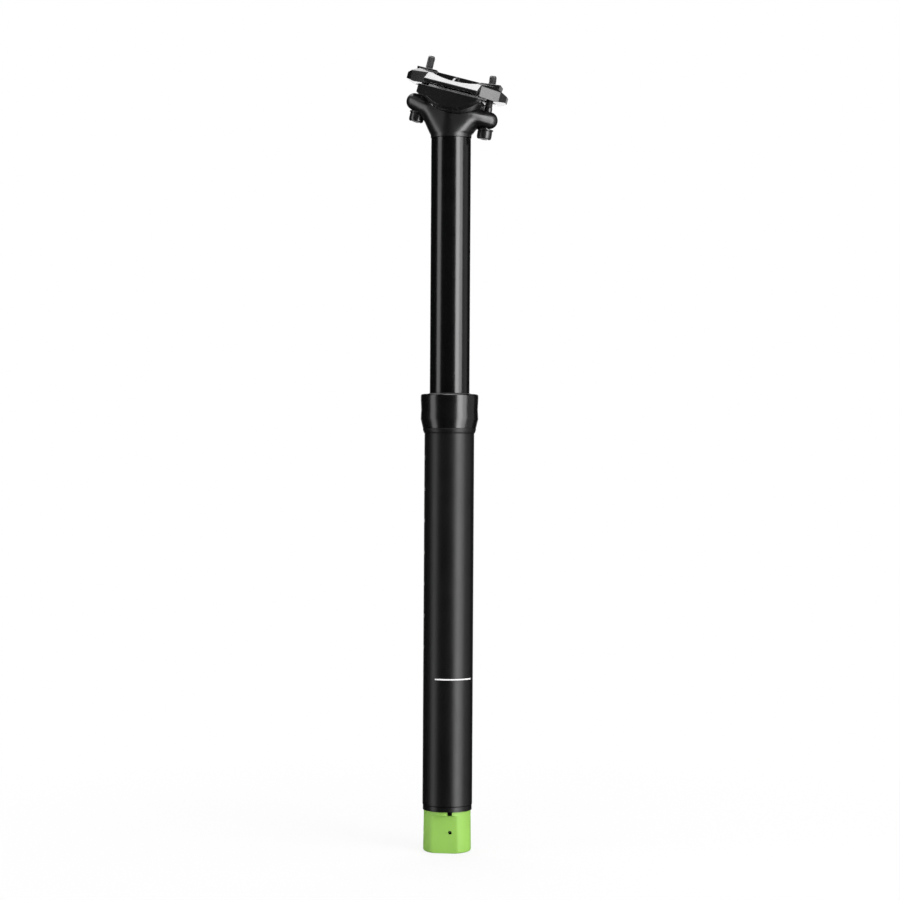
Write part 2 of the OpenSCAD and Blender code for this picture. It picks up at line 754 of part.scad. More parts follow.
module barrel_screw() {
    len = lever_w + 3;
    color("#5a5c60") translate([cable_x, len / 2, pivot_z]) rotate([90, 0, 0]) difference() {
        cylinder(r = barrel_d / 4, h = len / 2 - 1);
        translate([0, 0, -1]) cylinder(r = barrel_d / 8, h = 2, $fn = 6);
    }
}

outer_tube();
collar();
wiper_seal();
upper_bushing();
actuator_foot();
rod_nut();
cartridge_rod();
piston();
piston_seal();
lever_pivot_pin();
lever_spring();
actuator_cap();
stanchion();
head();
guide_keys();
glide_bushing();
cartridge_retainer();
cartridge_cylinder();
rod_gland();
rod_seal();
cartridge_top_plug();
clamp_bolts();
bolt_washers();
lower_cradle();
upper_clamp();
front_barrel_nut();
rear_barrel_nut();
actuator_lever();
cable_barrel();
barrel_screw();
release_pin();
floating_piston();
floating_seal();
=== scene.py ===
"""Looks of a dropper seatpost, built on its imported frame.

Every piece is in metres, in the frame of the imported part. Z runs up the post, X points to the
front of the bicycle, and the origin is on the post's axis, under the tube's shoulder.
Sizes in the classes are in millimetres and are turned into metres when a mesh is made.
"""
from __future__ import annotations

import logging
import math
from dataclasses import dataclass, field
from enum import Enum
from typing import Sequence

import bmesh
import bpy
from mathutils import Matrix, Vector


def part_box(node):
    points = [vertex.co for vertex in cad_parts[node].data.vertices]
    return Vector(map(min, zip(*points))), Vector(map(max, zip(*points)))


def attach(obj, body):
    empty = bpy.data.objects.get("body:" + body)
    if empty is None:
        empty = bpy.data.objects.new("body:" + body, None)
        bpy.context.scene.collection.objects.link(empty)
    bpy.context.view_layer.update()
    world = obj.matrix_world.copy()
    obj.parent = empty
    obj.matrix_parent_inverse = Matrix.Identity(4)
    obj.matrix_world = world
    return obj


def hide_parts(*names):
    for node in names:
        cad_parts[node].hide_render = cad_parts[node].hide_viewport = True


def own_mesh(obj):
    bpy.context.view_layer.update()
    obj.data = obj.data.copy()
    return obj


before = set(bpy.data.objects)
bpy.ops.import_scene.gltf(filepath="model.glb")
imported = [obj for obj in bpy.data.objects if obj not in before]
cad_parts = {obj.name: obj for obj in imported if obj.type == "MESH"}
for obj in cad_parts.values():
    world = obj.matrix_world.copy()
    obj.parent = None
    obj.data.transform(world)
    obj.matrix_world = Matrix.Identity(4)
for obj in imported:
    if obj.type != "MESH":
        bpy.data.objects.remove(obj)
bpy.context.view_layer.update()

logging.basicConfig(level=logging.INFO, format="%(name)s: %(message)s")
LOG = logging.getLogger("seatpost")

MM = 0.001
ROUND_STEPS = 160

Point2 = tuple[float, float]
Colour = tuple[float, float, float]
Ring = list[Vector]


class Body(Enum):
    """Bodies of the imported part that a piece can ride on."""

    LOWER = "lower"
    UPPER = "upper"
    CLAMP = "saddle_clamp"
    FRONT_NUT = "front_nut"
    REAR_NUT = "rear_nut"


class Side(Enum):
    """The two ends of the saddle clamp."""

    REAR = -1
    FRONT = 1


class Texture(Enum):
    """What the surface of a finish looks like from close by."""

    BLASTED = "blasted"
    TURNED = "turned"
    DRAWN = "drawn"
    MOULDED = "moulded"


def bottom_of(node: str) -> float:
    """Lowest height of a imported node, in millimetres."""
    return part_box(node)[0].z / MM


def top_of(node: str) -> float:
    """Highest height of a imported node, in millimetres."""
    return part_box(node)[1].z / MM


def radius_of(node: str) -> float:
    """Outer radius of a packed round node, in millimetres."""
    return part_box(node)[1].x / MM


class Groups:
    """Shader node groups that several finishes share."""

    @staticmethod
    def _new(name: str, inputs: Sequence[tuple[str, str, object]],
             outputs: Sequence[tuple[str, str]]) -> tuple[bpy.types.NodeTree, bpy.types.Node, bpy.types.Node]:
        """Makes an empty group with named sockets.

        Args:
            name: Name of the group.
            inputs: Name, socket type and default of each input.
            outputs: Name and socket type of each output.

        Returns:
            The group with its input and output nodes.
        """
        tree = bpy.data.node_groups.new(name, "ShaderNodeTree")
        for label, kind, default in inputs:
            socket = tree.interface.new_socket(label, in_out="INPUT", socket_type=kind)
            if default is not None:
                socket.default_value = default
        for label, kind in outputs:
            tree.interface.new_socket(label, in_out="OUTPUT", socket_type=kind)
        return tree, tree.nodes.new("NodeGroupInput"), tree.nodes.new("NodeGroupOutput")

    @classmethod
    def mottle(cls) -> bpy.types.NodeTree:
        """Slow change of a value over the surface, between two limits."""
        name = "mottle"
        if name in bpy.data.node_groups:
            return bpy.data.node_groups[name]
        tree, source, sink = cls._new(
            name,
            [("Vector", "NodeSocketVector", None), ("Scale", "NodeSocketFloat", 60.0),
             ("Low", "NodeSocketFloat", 0.0), ("High", "NodeSocketFloat", 1.0)],
            [("Value", "NodeSocketFloat")],
        )
        noise = tree.nodes.new("ShaderNodeTexNoise")
        noise.inputs["Detail"].default_value = 3.0
        spread = tree.nodes.new("ShaderNodeMapRange")
        spread.inputs["From Min"].default_value = 0.3
        spread.inputs["From Max"].default_value = 0.7
        tree.links.new(source.outputs["Vector"], noise.inputs["Vector"])
        tree.links.new(source.outputs["Scale"], noise.inputs["Scale"])
        tree.links.new(noise.outputs["Fac"], spread.inputs["Value"])
        tree.links.new(source.outputs["Low"], spread.inputs["To Min"])
        tree.links.new(source.outputs["High"], spread.inputs["To Max"])
        tree.links.new(spread.outputs["Result"], sink.inputs["Value"])
        return tree

    @classmethod
    def relief(cls) -> bpy.types.NodeTree:
        """Fine relief of a surface, stretched along its tool marks."""
        name = "relief"
        if name in bpy.data.node_groups:
            return bpy.data.node_groups[name]
        tree, source, sink = cls._new(
            name,
            [("Vector", "NodeSocketVector", None), ("Stretch", "NodeSocketVector", (1.0, 1.0, 1.0)),
             ("Scale", "NodeSocketFloat", 3000.0)],
            [("Height", "NodeSocketFloat")],
        )
        stretch = tree.nodes.new("ShaderNodeVectorMath")
        stretch.operation = "MULTIPLY"
        noise = tree.nodes.new("ShaderNodeTexNoise")
        noise.inputs["Detail"].default_value = 2.0
        tree.links.new(source.outputs["Vector"], stretch.inputs[0])
        tree.links.new(source.outputs["Stretch"], stretch.inputs[1])
        tree.links.new(stretch.outputs["Vector"], noise.inputs["Vector"])
        tree.links.new(source.outputs["Scale"], noise.inputs["Scale"])
        tree.links.new(noise.outputs["Fac"], sink.inputs["Height"])
        return tree

    @classmethod
    def edge_wear(cls) -> bpy.types.NodeTree:
        """Mask of the rubbed convex edges, broken up by a slow noise."""
        name = "edge_wear"
        if name in bpy.data.node_groups:
            return bpy.data.node_groups[name]
        tree, source, sink = cls._new(
            name,
            [("Vector", "NodeSocketVector", None), ("Amount", "NodeSocketFloat", 0.3),
             ("Scale", "NodeSocketFloat", 250.0)],
            [("Mask", "NodeSocketFloat")],
        )
        geometry = tree.nodes.new("ShaderNodeNewGeometry")
        edge = tree.nodes.new("ShaderNodeMapRange")
        edge.inputs["From Min"].default_value = 0.53
        edge.inputs["From Max"].default_value = 0.62
        noise = tree.nodes.new("ShaderNodeTexNoise")
        noise.inputs["Detail"].default_value = 4.0
        broken = tree.nodes.new("ShaderNodeMath")
        broken.operation = "MULTIPLY"
        limited = tree.nodes.new("ShaderNodeMath")
        limited.operation = "MULTIPLY"
        limited.use_clamp = True
        tree.links.new(geometry.outputs["Pointiness"], edge.inputs["Value"])
        tree.links.new(source.outputs["Vector"], noise.inputs["Vector"])
        tree.links.new(source.outputs["Scale"], noise.inputs["Scale"])
        tree.links.new(edge.outputs["Result"], broken.inputs[0])
        tree.links.new(noise.outputs["Fac"], broken.inputs[1])
        tree.links.new(broken.outputs["Value"], limited.inputs[0])
        tree.links.new(source.outputs["Amount"], limited.inputs[1])
        tree.links.new(limited.outputs["Value"], sink.inputs["Mask"])
        return tree


@dataclass(frozen=True)
class Finish:
    """A finish of the seatpost, turned into a procedural material.

    Attributes:
        name: Name of the material.
        slot: Material slot of the record that it stands for; not used.
        colour: Linear base colour.
        roughness: Middle of the roughness.
        spread: How far the roughness changes either way.
        texture: Kind of fine relief.
        scale: Scale of the fine relief, per metre.
        bump: Depth of the fine relief, in metres.
        metallic: Metal share of the shader.
        ior: Index of refraction of the surface.
        coat: Weight of a clear layer on top.
        coat_roughness: Roughness of that layer.
        tone: How far the colour changes either way, as a share.
        wear: Strength of the rubbed edges.
        worn_colour: Colour of the rubbed edges.
    """

    name: str
    slot: str
    colour: Colour
    roughness: float
    spread: float = 0.05
    texture: Texture = Texture.BLASTED
    scale: float = 3000.0
    bump: float = 0.000004
    metallic: float = 0.0
    ior: float = 1.5
    coat: float = 0.0
    coat_roughness: float = 0.08
    tone: float = 0.15
    wear: float = 0.0
    worn_colour: Colour = (0.2, 0.2, 0.21)

    def _stretch(self) -> tuple[float, float, float]:
        """Stretch of the relief along the tool marks of the texture."""
        choices = {
            Texture.BLASTED: (1.0, 1.0, 1.0),
            Texture.MOULDED: (1.0, 1.0, 1.0),
            Texture.TURNED: (0.03, 0.03, 1.0),
            Texture.DRAWN: (1.0, 1.0, 0.02),
        }
        return choices[self.texture]

    def material(self) -> bpy.types.Material:
        """Builds the material once and hands it out again later.

        Returns:
            The material of this finish.
        """
        if self.name in bpy.data.materials:
            return bpy.data.materials[self.name]
        made = bpy.data.materials.new(self.name)
        made.use_nodes = True
        tree = made.node_tree
        shader = tree.nodes["Principled BSDF"]
        shader.inputs["Metallic"].default_value = self.metallic
        shader.inputs["IOR"].default_value = self.ior
        shader.inputs["Coat Weight"].default_value = self.coat
        shader.inputs["Coat Roughness"].default_value = self.coat_roughness
        place = tree.nodes.new("ShaderNodeTexCoord")
        self._colour(tree, shader, place)
        self._roughness(tree, shader, place)
        self._bump(tree, shader, place)
        return made

    def _colour(self, tree: bpy.types.NodeTree, shader: bpy.types.Node, place: bpy.types.Node) -> None:
        """Joins a slowly changing base colour, with rubbed edges if the finish has them."""
        tone = tree.nodes.new("ShaderNodeGroup")
        tone.node_tree = Groups.mottle()
        tone.inputs["Scale"].default_value = 45.0
        tone.inputs["Low"].default_value = 0.0
        tone.inputs["High"].default_value = 1.0
        blend = tree.nodes.new("ShaderNodeMix")
        blend.data_type = "RGBA"
        blend.inputs["A"].default_value = (*(c * (1.0 - self.tone) for c in self.colour), 1.0)
        blend.inputs["B"].default_value = (*(c * (1.0 + self.tone) for c in self.colour), 1.0)
        tree.links.new(place.outputs["Object"], tone.inputs["Vector"])
        tree.links.new(tone.outputs["Value"], blend.inputs["Factor"])
        last = blend.outputs["Result"]
        if self.wear > 0.0:
            wear = tree.nodes.new("ShaderNodeGroup")
            wear.node_tree = Groups.edge_wear()
            wear.inputs["Amount"].default_value = self.wear
            rubbed = tree.nodes.new("ShaderNodeMix")
            rubbed.data_type = "RGBA"
            rubbed.inputs["B"].default_value = (*self.worn_colour, 1.0)
            tree.links.new(place.outputs["Object"], wear.inputs["Vector"])
            tree.links.new(wear.outputs["Mask"], rubbed.inputs["Factor"])
            tree.links.new(last, rubbed.inputs["A"])
            last = rubbed.outputs["Result"]
        tree.links.new(last, shader.inputs["Base Color"])

    def _roughness(self, tree: bpy.types.NodeTree, shader: bpy.types.Node, place: bpy.types.Node) -> None:
        """Joins a roughness that changes a little over the surface."""
        change = tree.nodes.new("ShaderNodeGroup")
        change.node_tree = Groups.mottle()
        change.inputs["Scale"].default_value = 90.0
        change.inputs["Low"].default_value = max(0.02, self.roughness - self.spread)
        change.inputs["High"].default_value = min(1.0, self.roughness + self.spread)
        tree.links.new(place.outputs["Object"], change.inputs["Vector"])
        tree.links.new(change.outputs["Value"], shader.inputs["Roughness"])

    def _bump(self, tree: bpy.types.NodeTree, shader: bpy.types.Node, place: bpy.types.Node) -> None:
        """Joins the fine relief of the texture."""
        relief = tree.nodes.new("ShaderNodeGroup")
        relief.node_tree = Groups.relief()
        relief.inputs["Stretch"].default_value = self._stretch()
        relief.inputs["Scale"].default_value = self.scale
        bump = tree.nodes.new("ShaderNodeBump")
        bump.inputs["Strength"].default_value = 1.0
        bump.inputs["Distance"].default_value = self.bump
        tree.links.new(place.outputs["Object"], relief.inputs["Vector"])
        tree.links.new(relief.outputs["Height"], bump.inputs["Height"])
        tree.links.new(bump.outputs["Normal"], shader.inputs["Normal"])


class Finishes:
    """All finishes of the seatpost."""

    MATTE_TUBE = Finish("matte_black_tube", "matte_tube", (0.0036, 0.0036, 0.0038), 0.39, 0.02,
                        Texture.BLASTED, 5200.0, 0.000005, ior=1.55, tone=0.12)
    GLOSS_COLLAR = Finish("gloss_black_collar", "gloss_collar", (0.0024, 0.0024, 0.0026), 0.23, 0.02,
                          Texture.TURNED, 4200.0, 0.000002, ior=1.75, wear=0.05)
    GLOSS_STANCHION = Finish("gloss_black_stanchion", "gloss_stanchion", (0.002, 0.002, 0.0021), 0.19, 0.015,
                             Texture.TURNED, 5200.0, 0.0000012, ior=1.75)
    BLACK_FORGING = Finish("satin_black_forging", "black_aluminium", (0.0045, 0.0045, 0.0048), 0.32, 0.03,
                           Texture.BLASTED, 2600.0, 0.000004, ior=1.9, wear=0.06)
    CLAMP = Finish("satin_black_clamp", "clamp_aluminium", (0.006, 0.006, 0.0063), 0.26, 0.03,
                   Texture.BLASTED, 3200.0, 0.000003, ior=1.85, wear=0.2)
    FOOT = Finish("black_foot", "black_aluminium", (0.005, 0.005, 0.0053), 0.36, 0.04,
                  Texture.TURNED, 3600.0, 0.000004)
    BLACK_STEEL = Finish("black_oxide_steel", "black_steel", (0.007, 0.007, 0.0074), 0.28, 0.05,
                         Texture.BLASTED, 3600.0, 0.000004, ior=1.9, wear=0.35, worn_colour=(0.3, 0.3, 0.31))
    BRIGHT_STEEL = Finish("ground_steel", "bright_steel", (0.62, 0.63, 0.65), 0.22, 0.05,
                          Texture.TURNED, 4800.0, 0.000003, metallic=1.0, tone=0.05)
    PLAIN_ALUMINIUM = Finish("drawn_aluminium", "plain_aluminium", (0.6, 0.61, 0.63), 0.34, 0.06,
                             Texture.DRAWN, 3600.0, 0.000004, metallic=1.0, tone=0.06)
    BRASS = Finish("turned_brass", "brass", (0.7, 0.55, 0.25), 0.28, 0.05,
                   Texture.TURNED, 4200.0, 0.000003, metallic=1.0, tone=0.08)
    RUBBER = Finish("seal_rubber", "seal_rubber", (0.014, 0.014, 0.014), 0.6, 0.08,
                    Texture.MOULDED, 2400.0, 0.000008)
    BEARING_PLASTIC = Finish("bearing_plastic", "bushing_plastic", (0.3, 0.27, 0.22), 0.5, 0.06,
                             Texture.MOULDED, 2600.0, 0.000006)
    GREEN_PLASTIC = Finish("green_moulded_plastic", "green_plastic", (0.305, 0.582, 0.097), 0.45, 0.05,
                           Texture.MOULDED, 2200.0, 0.000010, tone=0.06)
    WHITE_INK = Finish("white_ink", "matte_tube", (0.86, 0.86, 0.85), 0.5, 0.05,
                       Texture.MOULDED, 3000.0, 0.000003, tone=0.04)


class Shapes:
    """Mesh tools that the sub-assemblies share."""

    @staticmethod
    def soften(corners: Sequence[Point2], radius: float, steps: int = 4) -> list[Point2]:
        """Rounds the corners of a closed outline.

        Args:
            corners: Corners of the outline, in millimetres.
            radius: Radius at each corner, less where a side is short.
            steps: Steps of each round.

        Returns:
            The outline with its corners rounded.
        """
        softened: list[Point2] = []
        count = len(corners)
        for index in range(count):
            here = Vector(corners[index])
            back = Vector(corners[index - 1]) - here
            ahead = Vector(corners[(index + 1) % count]) - here
            if back.length < 1e-6 or ahead.length < 1e-6:
                softened.append(tuple(here))
                continue
            half = 0.5 * back.angle(ahead)
            reach = min(radius / max(math.tan(half), 0.05), 0.45 * back.length, 0.45 * ahead.length)
            if half > math.radians(86):
                softened.append(tuple(here))
                continue
            start = here + back.normalized() * reach
            end = here + ahead.normalized() * reach
            for step in range(steps + 1):
                t = step / steps
                point = start * (1 - t) ** 2 + here * 2 * t * (1 - t) + end * t ** 2
                softened.append((point.x, point.y))
        return softened

    @staticmethod
    def circle(radius: float, height: float, steps: int = ROUND_STEPS) -> Ring:
        """A level ring of points round the post's axis, in millimetres."""
        turn = 2 * math.pi / steps
        return [Vector((radius * math.cos(i * turn), radius * math.sin(i * turn), height)) for i in range(steps)]

    @staticmethod
    def loft(name: str, rings: Sequence[Ring], closed: bool = True) -> bpy.types.Object:
        """Joins rings of points into a skin.

        Args:
            name: Name of the object.
            rings: Rings with the same number of points, in millimetres.
            closed: Whether the last ring joins the first.

        Returns:
            The object, with its faces pointing outwards.
        """
        made = bmesh.new()
        rows = [[made.verts.new(point * MM) for point in ring] for ring in rings]
        pairs = list(zip(rows, rows[1:] + rows[:1])) if closed else list(zip(rows, rows[1:]))
        steps = len(rows[0])
        for low, high in pairs:
            for i in range(steps):
                j = (i + 1) % steps
                made.faces.new((low[i], low[j], high[j], high[i]))
        bmesh.ops.remove_doubles(made, verts=made.verts, dist=1e-7)
        bmesh.ops.dissolve_degenerate(made, edges=made.edges, dist=1e-8)
        bmesh.ops.recalc_face_normals(made, faces=made.faces)
        return Shapes.keep(name, made)

    @staticmethod
    def keep(name: str, made: bmesh.types.BMesh) -> bpy.types.Object:
        """Turns a bmesh into a linked object at the origin."""
        mesh = bpy.data.meshes.new(name)
        made.to_mesh(mesh)
        made.free()
        piece = bpy.data.objects.new(name, mesh)
        bpy.context.scene.collection.objects.link(piece)
        return piece

    @staticmethod
    def lathe(name: str, outline: Sequence[Point2], steps: int = ROUND_STEPS) -> bpy.types.Object:
        """Turns a closed outline of radius and height about the post's axis."""
        return Shapes.loft(name, [Shapes.circle(radius, height, steps) for radius, height in outline])

    @staticmethod
    def bake(piece: bpy.types.Object) -> bpy.types.Object:
        """Applies the modifiers of a piece to its mesh."""
        graph = bpy.context.evaluated_depsgraph_get()
        graph.update()
        mesh = bpy.data.meshes.new_from_object(piece.evaluated_get(graph))
        old = piece.data
        piece.modifiers.clear()
        piece.data = mesh
        bpy.data.meshes.remove(old)
        return piece

    @staticmethod
    def cut(piece: bpy.types.Object, *tools: bpy.types.Object) -> bpy.types.Object:
        """Takes the tools out of a piece and deletes them."""
        for tool in tools:
            change = piece.modifiers.new("cut", "BOOLEAN")
            change.operation = "DIFFERENCE"
            change.solver = "EXACT"
            change.object = tool
        Shapes.bake(piece)
        for tool in tools:
            bpy.data.objects.remove(tool)
        return piece

    @staticmethod
    def smooth(piece: bpy.types.Object, angle: float = 30.0) -> bpy.types.Object:
        """Shades a piece smooth, with sharp edges past an angle in degrees."""
        piece.data.shade_smooth()
        piece.data.set_sharp_from_angle(angle=math.radians(angle))
        return piece

    @staticmethod
    def copy_of(node: str, name: str) -> bpy.types.Object:
        """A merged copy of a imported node's mesh."""
        made = bmesh.new()
        made.from_mesh(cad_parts[node].data)
        bmesh.ops.remove_doubles(made, verts=made.verts, dist=2e-6)
        return Shapes.keep(name, made)

    @staticmethod
    def rounded(piece: bpy.types.Object, voxel: float, turns: int) -> bpy.types.Object:
        """Remeshes a piece evenly and rounds its edges.

        Args:
            piece: The piece to change.
            voxel: Size of the new faces, in millimetres.
            turns: Rounds of smoothing.

        Returns:
            The same piece.
        """
        even = piece.modifiers.new("even", "REMESH")
        even.mode = "VOXEL"
        even.voxel_size = voxel * MM
        soft = piece.modifiers.new("soft", "SMOOTH")
        soft.factor = 0.5
        soft.iterations = turns
        return Shapes.bake(piece)

    @staticmethod
    def thin(piece: bpy.types.Object, share: float) -> bpy.types.Object:
        """Keeps a share of a piece's faces, the most where it bends."""
        fewer = piece.modifiers.new("fewer", "DECIMATE")
        fewer.ratio = share
        return Shapes.bake(piece)

    @staticmethod
    def place(piece: bpy.types.Object, matrix: Matrix) -> bpy.types.Object:
        """Moves the mesh of a piece, with the matrix in millimetres."""
        moved = matrix.copy()
        moved.translation = moved.translation * MM
        piece.data.transform(moved)
        return piece

    @staticmethod
    def bar_y(name: str, radius: float, length: float, middle: Vector, steps: int = 96) -> bpy.types.Object:
        """A solid round bar along Y, as a cutting tool, in millimetres."""
        made = bmesh.new()
        bmesh.ops.create_cone(made, cap_ends=True, segments=steps, radius1=radius * MM, radius2=radius * MM,
                              depth=length * MM, matrix=Matrix.Rotation(math.pi / 2, 4, "X"))
        bmesh.ops.translate(made, verts=made.verts, vec=middle * MM)
        return Shapes.keep(name, made)

    @staticmethod
    def bar_z(name: str, radius: float, low: float, high: float, steps: int = 64) -> bpy.types.Object:
        """A solid round bar along Z, as a cutting tool, in millimetres."""
        made = bmesh.new()
        bmesh.ops.create_cone(made, cap_ends=True, segments=steps, radius1=radius * MM, radius2=radius * MM,
                              depth=(high - low) * MM)
        bmesh.ops.translate(made, verts=made.verts, vec=Vector((0, 0, 0.5 * (low + high) * MM)))
        return Shapes.keep(name, made)

    @staticmethod
    def block(name: str, low: Vector, high: Vector) -> bpy.types.Object:
        """A solid block between two corners, as a cutting tool, in millimetres."""
        made = bmesh.new()
        bmesh.ops.create_cube(made, size=1.0)
        size = high - low
        bmesh.ops.scale(made, verts=made.verts, vec=size * MM)
        bmesh.ops.translate(made, verts=made.verts, vec=(low + high) * 0.5 * MM)
        return Shapes.keep(name, made)

    @staticmethod
    def finish(piece: bpy.types.Object, finish: Finish, body: Body, *nodes: str) -> bpy.types.Object:
        """Gives a piece its finish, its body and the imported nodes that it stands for.

        Args:
            piece: The finished piece.
            finish: Its finish.
            body: The body that it rides on.
            nodes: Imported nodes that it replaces.

        Returns:
            The same piece.
        """
        piece.data.materials.clear()
        piece.data.materials.append(finish.material())
        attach(piece, body.value)
        if nodes:
            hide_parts(*nodes)
        LOG.info("%s rides on %s, %d faces", piece.name, body.value, len(piece.data.polygons))
        return piece


class Trees:
    """Geometry node trees of the pieces that repeat or follow a path."""

    @staticmethod
    def _start(name: str, inputs: Sequence[tuple[str, str]]) -> tuple[bpy.types.NodeTree, bpy.types.Node]:
        """Makes a tree with named inputs and a geometry output.

        Args:
            name: Name of the tree.
            inputs: Name and socket type of each input.

        Returns:
            The tree and its input node.
        """
        tree = bpy.data.node_groups.new(name, "GeometryNodeTree")
        tree.interface.new_socket("Geometry", in_out="OUTPUT", socket_type="NodeSocketGeometry")
        for label, kind in inputs:
            tree.interface.new_socket(label, in_out="INPUT", socket_type=kind)
        return tree, tree.nodes.new("NodeGroupInput")

    @staticmethod
    def _end(tree: bpy.types.NodeTree, source: bpy.types.Node, last: bpy.types.NodeSocket) -> None:
        """Ends a tree in Realize Instances and Set Material."""
        real = tree.nodes.new("GeometryNodeRealizeInstances")
        paint = tree.nodes.new("GeometryNodeSetMaterial")
        sink = tree.nodes.new("NodeGroupOutput")
        tree.links.new(last, real.inputs["Geometry"])
        tree.links.new(real.outputs["Geometry"], paint.inputs["Geometry"])
        tree.links.new(source.outputs["Material"], paint.inputs["Material"])
        tree.links.new(paint.outputs["Geometry"], sink.inputs["Geometry"])

    @classmethod
    def printed_arcs(cls) -> bpy.types.NodeTree:
        """Printed lines that lie on a tube, one above the other."""
        name = "printed_arcs"
        if name in bpy.data.node_groups:
            return bpy.data.node_groups[name]
        tree, source = cls._start(name, [
            ("Count", "NodeSocketInt"), ("First Height", "NodeSocketFloat"), ("Pitch", "NodeSocketFloat"),
            ("Radius", "NodeSocketFloat"), ("Start Angle", "NodeSocketFloat"), ("Sweep", "NodeSocketFloat"),
            ("Line Height", "NodeSocketFloat"), ("Line Depth", "NodeSocketFloat"),
            ("Material", "NodeSocketMaterial"),
        ])
        arc = tree.nodes.new("GeometryNodeCurveArc")
        arc.inputs["Resolution"].default_value = 48
        shape = tree.nodes.new("GeometryNodeCurvePrimitiveQuadrilateral")
        upright = tree.nodes.new("GeometryNodeSetCurveNormal")
        upright.mode = "Z_UP"
        line = tree.nodes.new("GeometryNodeCurveToMesh")
        line.inputs["Fill Caps"].default_value = True
        first = tree.nodes.new("ShaderNodeCombineXYZ")
        step = tree.nodes.new("ShaderNodeCombineXYZ")
        points = tree.nodes.new("GeometryNodeMeshLine")
        points.mode = "OFFSET"
        copies = tree.nodes.new("GeometryNodeInstanceOnPoints")
        links = tree.links
        links.new(source.outputs["Radius"], arc.inputs["Radius"])
        links.new(source.outputs["Start Angle"], arc.inputs["Start Angle"])
        links.new(source.outputs["Sweep"], arc.inputs["Sweep Angle"])
        links.new(source.outputs["Line Depth"], shape.inputs["Width"])
        links.new(source.outputs["Line Height"], shape.inputs["Height"])
        links.new(arc.outputs["Curve"], upright.inputs["Curve"])
        links.new(upright.outputs["Curve"], line.inputs["Curve"])
        links.new(shape.outputs["Curve"], line.inputs["Profile Curve"])
        links.new(source.outputs["First Height"], first.inputs["Z"])
        links.new(source.outputs["Pitch"], step.inputs["Z"])
        links.new(source.outputs["Count"], points.inputs["Count"])
        links.new(first.outputs["Vector"], points.inputs["Start Location"])
        links.new(step.outputs["Vector"], points.inputs["Offset"])
        links.new(points.outputs["Mesh"], copies.inputs["Points"])
        links.new(line.outputs["Mesh"], copies.inputs["Instance"])
        cls._end(tree, source, copies.outputs["Instances"])
        return tree

    @classmethod
    def thread(cls) -> bpy.types.NodeTree:
        """A wire or ridge that climbs round an axis, as in a spring or a screw thread."""
        name = "climbing_wire"
        if name in bpy.data.node_groups:
            return bpy.data.node_groups[name]
        tree, source = cls._start(name, [
            ("Radius", "NodeSocketFloat"), ("Turns", "NodeSocketFloat"), ("Length", "NodeSocketFloat"),
            ("Ridge", "NodeSocketFloat"), ("Sides", "NodeSocketInt"), ("Material", "NodeSocketMaterial"),
        ])
        spiral = tree.nodes.new("GeometryNodeCurveSpiral")
        spiral.inputs["Resolution"].default_value = 28
        ridge = tree.nodes.new("GeometryNodeCurvePrimitiveCircle")
        upright = tree.nodes.new("GeometryNodeSetCurveNormal")
        upright.mode = "Z_UP"
        skin = tree.nodes.new("GeometryNodeCurveToMesh")
        skin.inputs["Fill Caps"].default_value = True
        links = tree.links
        links.new(source.outputs["Radius"], spiral.inputs["Start Radius"])
        links.new(source.outputs["Radius"], spiral.inputs["End Radius"])
        links.new(source.outputs["Turns"], spiral.inputs["Rotations"])
        links.new(source.outputs["Length"], spiral.inputs["Height"])
        links.new(source.outputs["Ridge"], ridge.inputs["Radius"])
        links.new(source.outputs["Sides"], ridge.inputs["Resolution"])
        links.new(spiral.outputs["Curve"], upright.inputs["Curve"])
        links.new(upright.outputs["Curve"], skin.inputs["Curve"])
        links.new(ridge.outputs["Curve"], skin.inputs["Profile Curve"])
        cls._end(tree, source, skin.outputs["Mesh"])
        return tree

    @staticmethod
    def run(name: str, tree: bpy.types.NodeTree, values: dict[str, object]) -> bpy.types.Object:
        """Runs a tree on an empty mesh and keeps the result as a plain mesh.

        Args:
            name: Name of the object.
            tree: The tree to run.
            values: Value of each named input, in metres and radians.

        Returns:
            The object with the plain mesh.
        """
        piece = bpy.data.objects.new(name, bpy.data.meshes.new(name))
        bpy.context.scene.collection.objects.link(piece)
        change = piece.modifiers.new("nodes", "NODES")
        change.node_group = tree
        for socket in tree.interface.items_tree:
            if socket.in_out == "INPUT":
                change[socket.identifier] = values[socket.name]
        return Shapes.bake(piece)


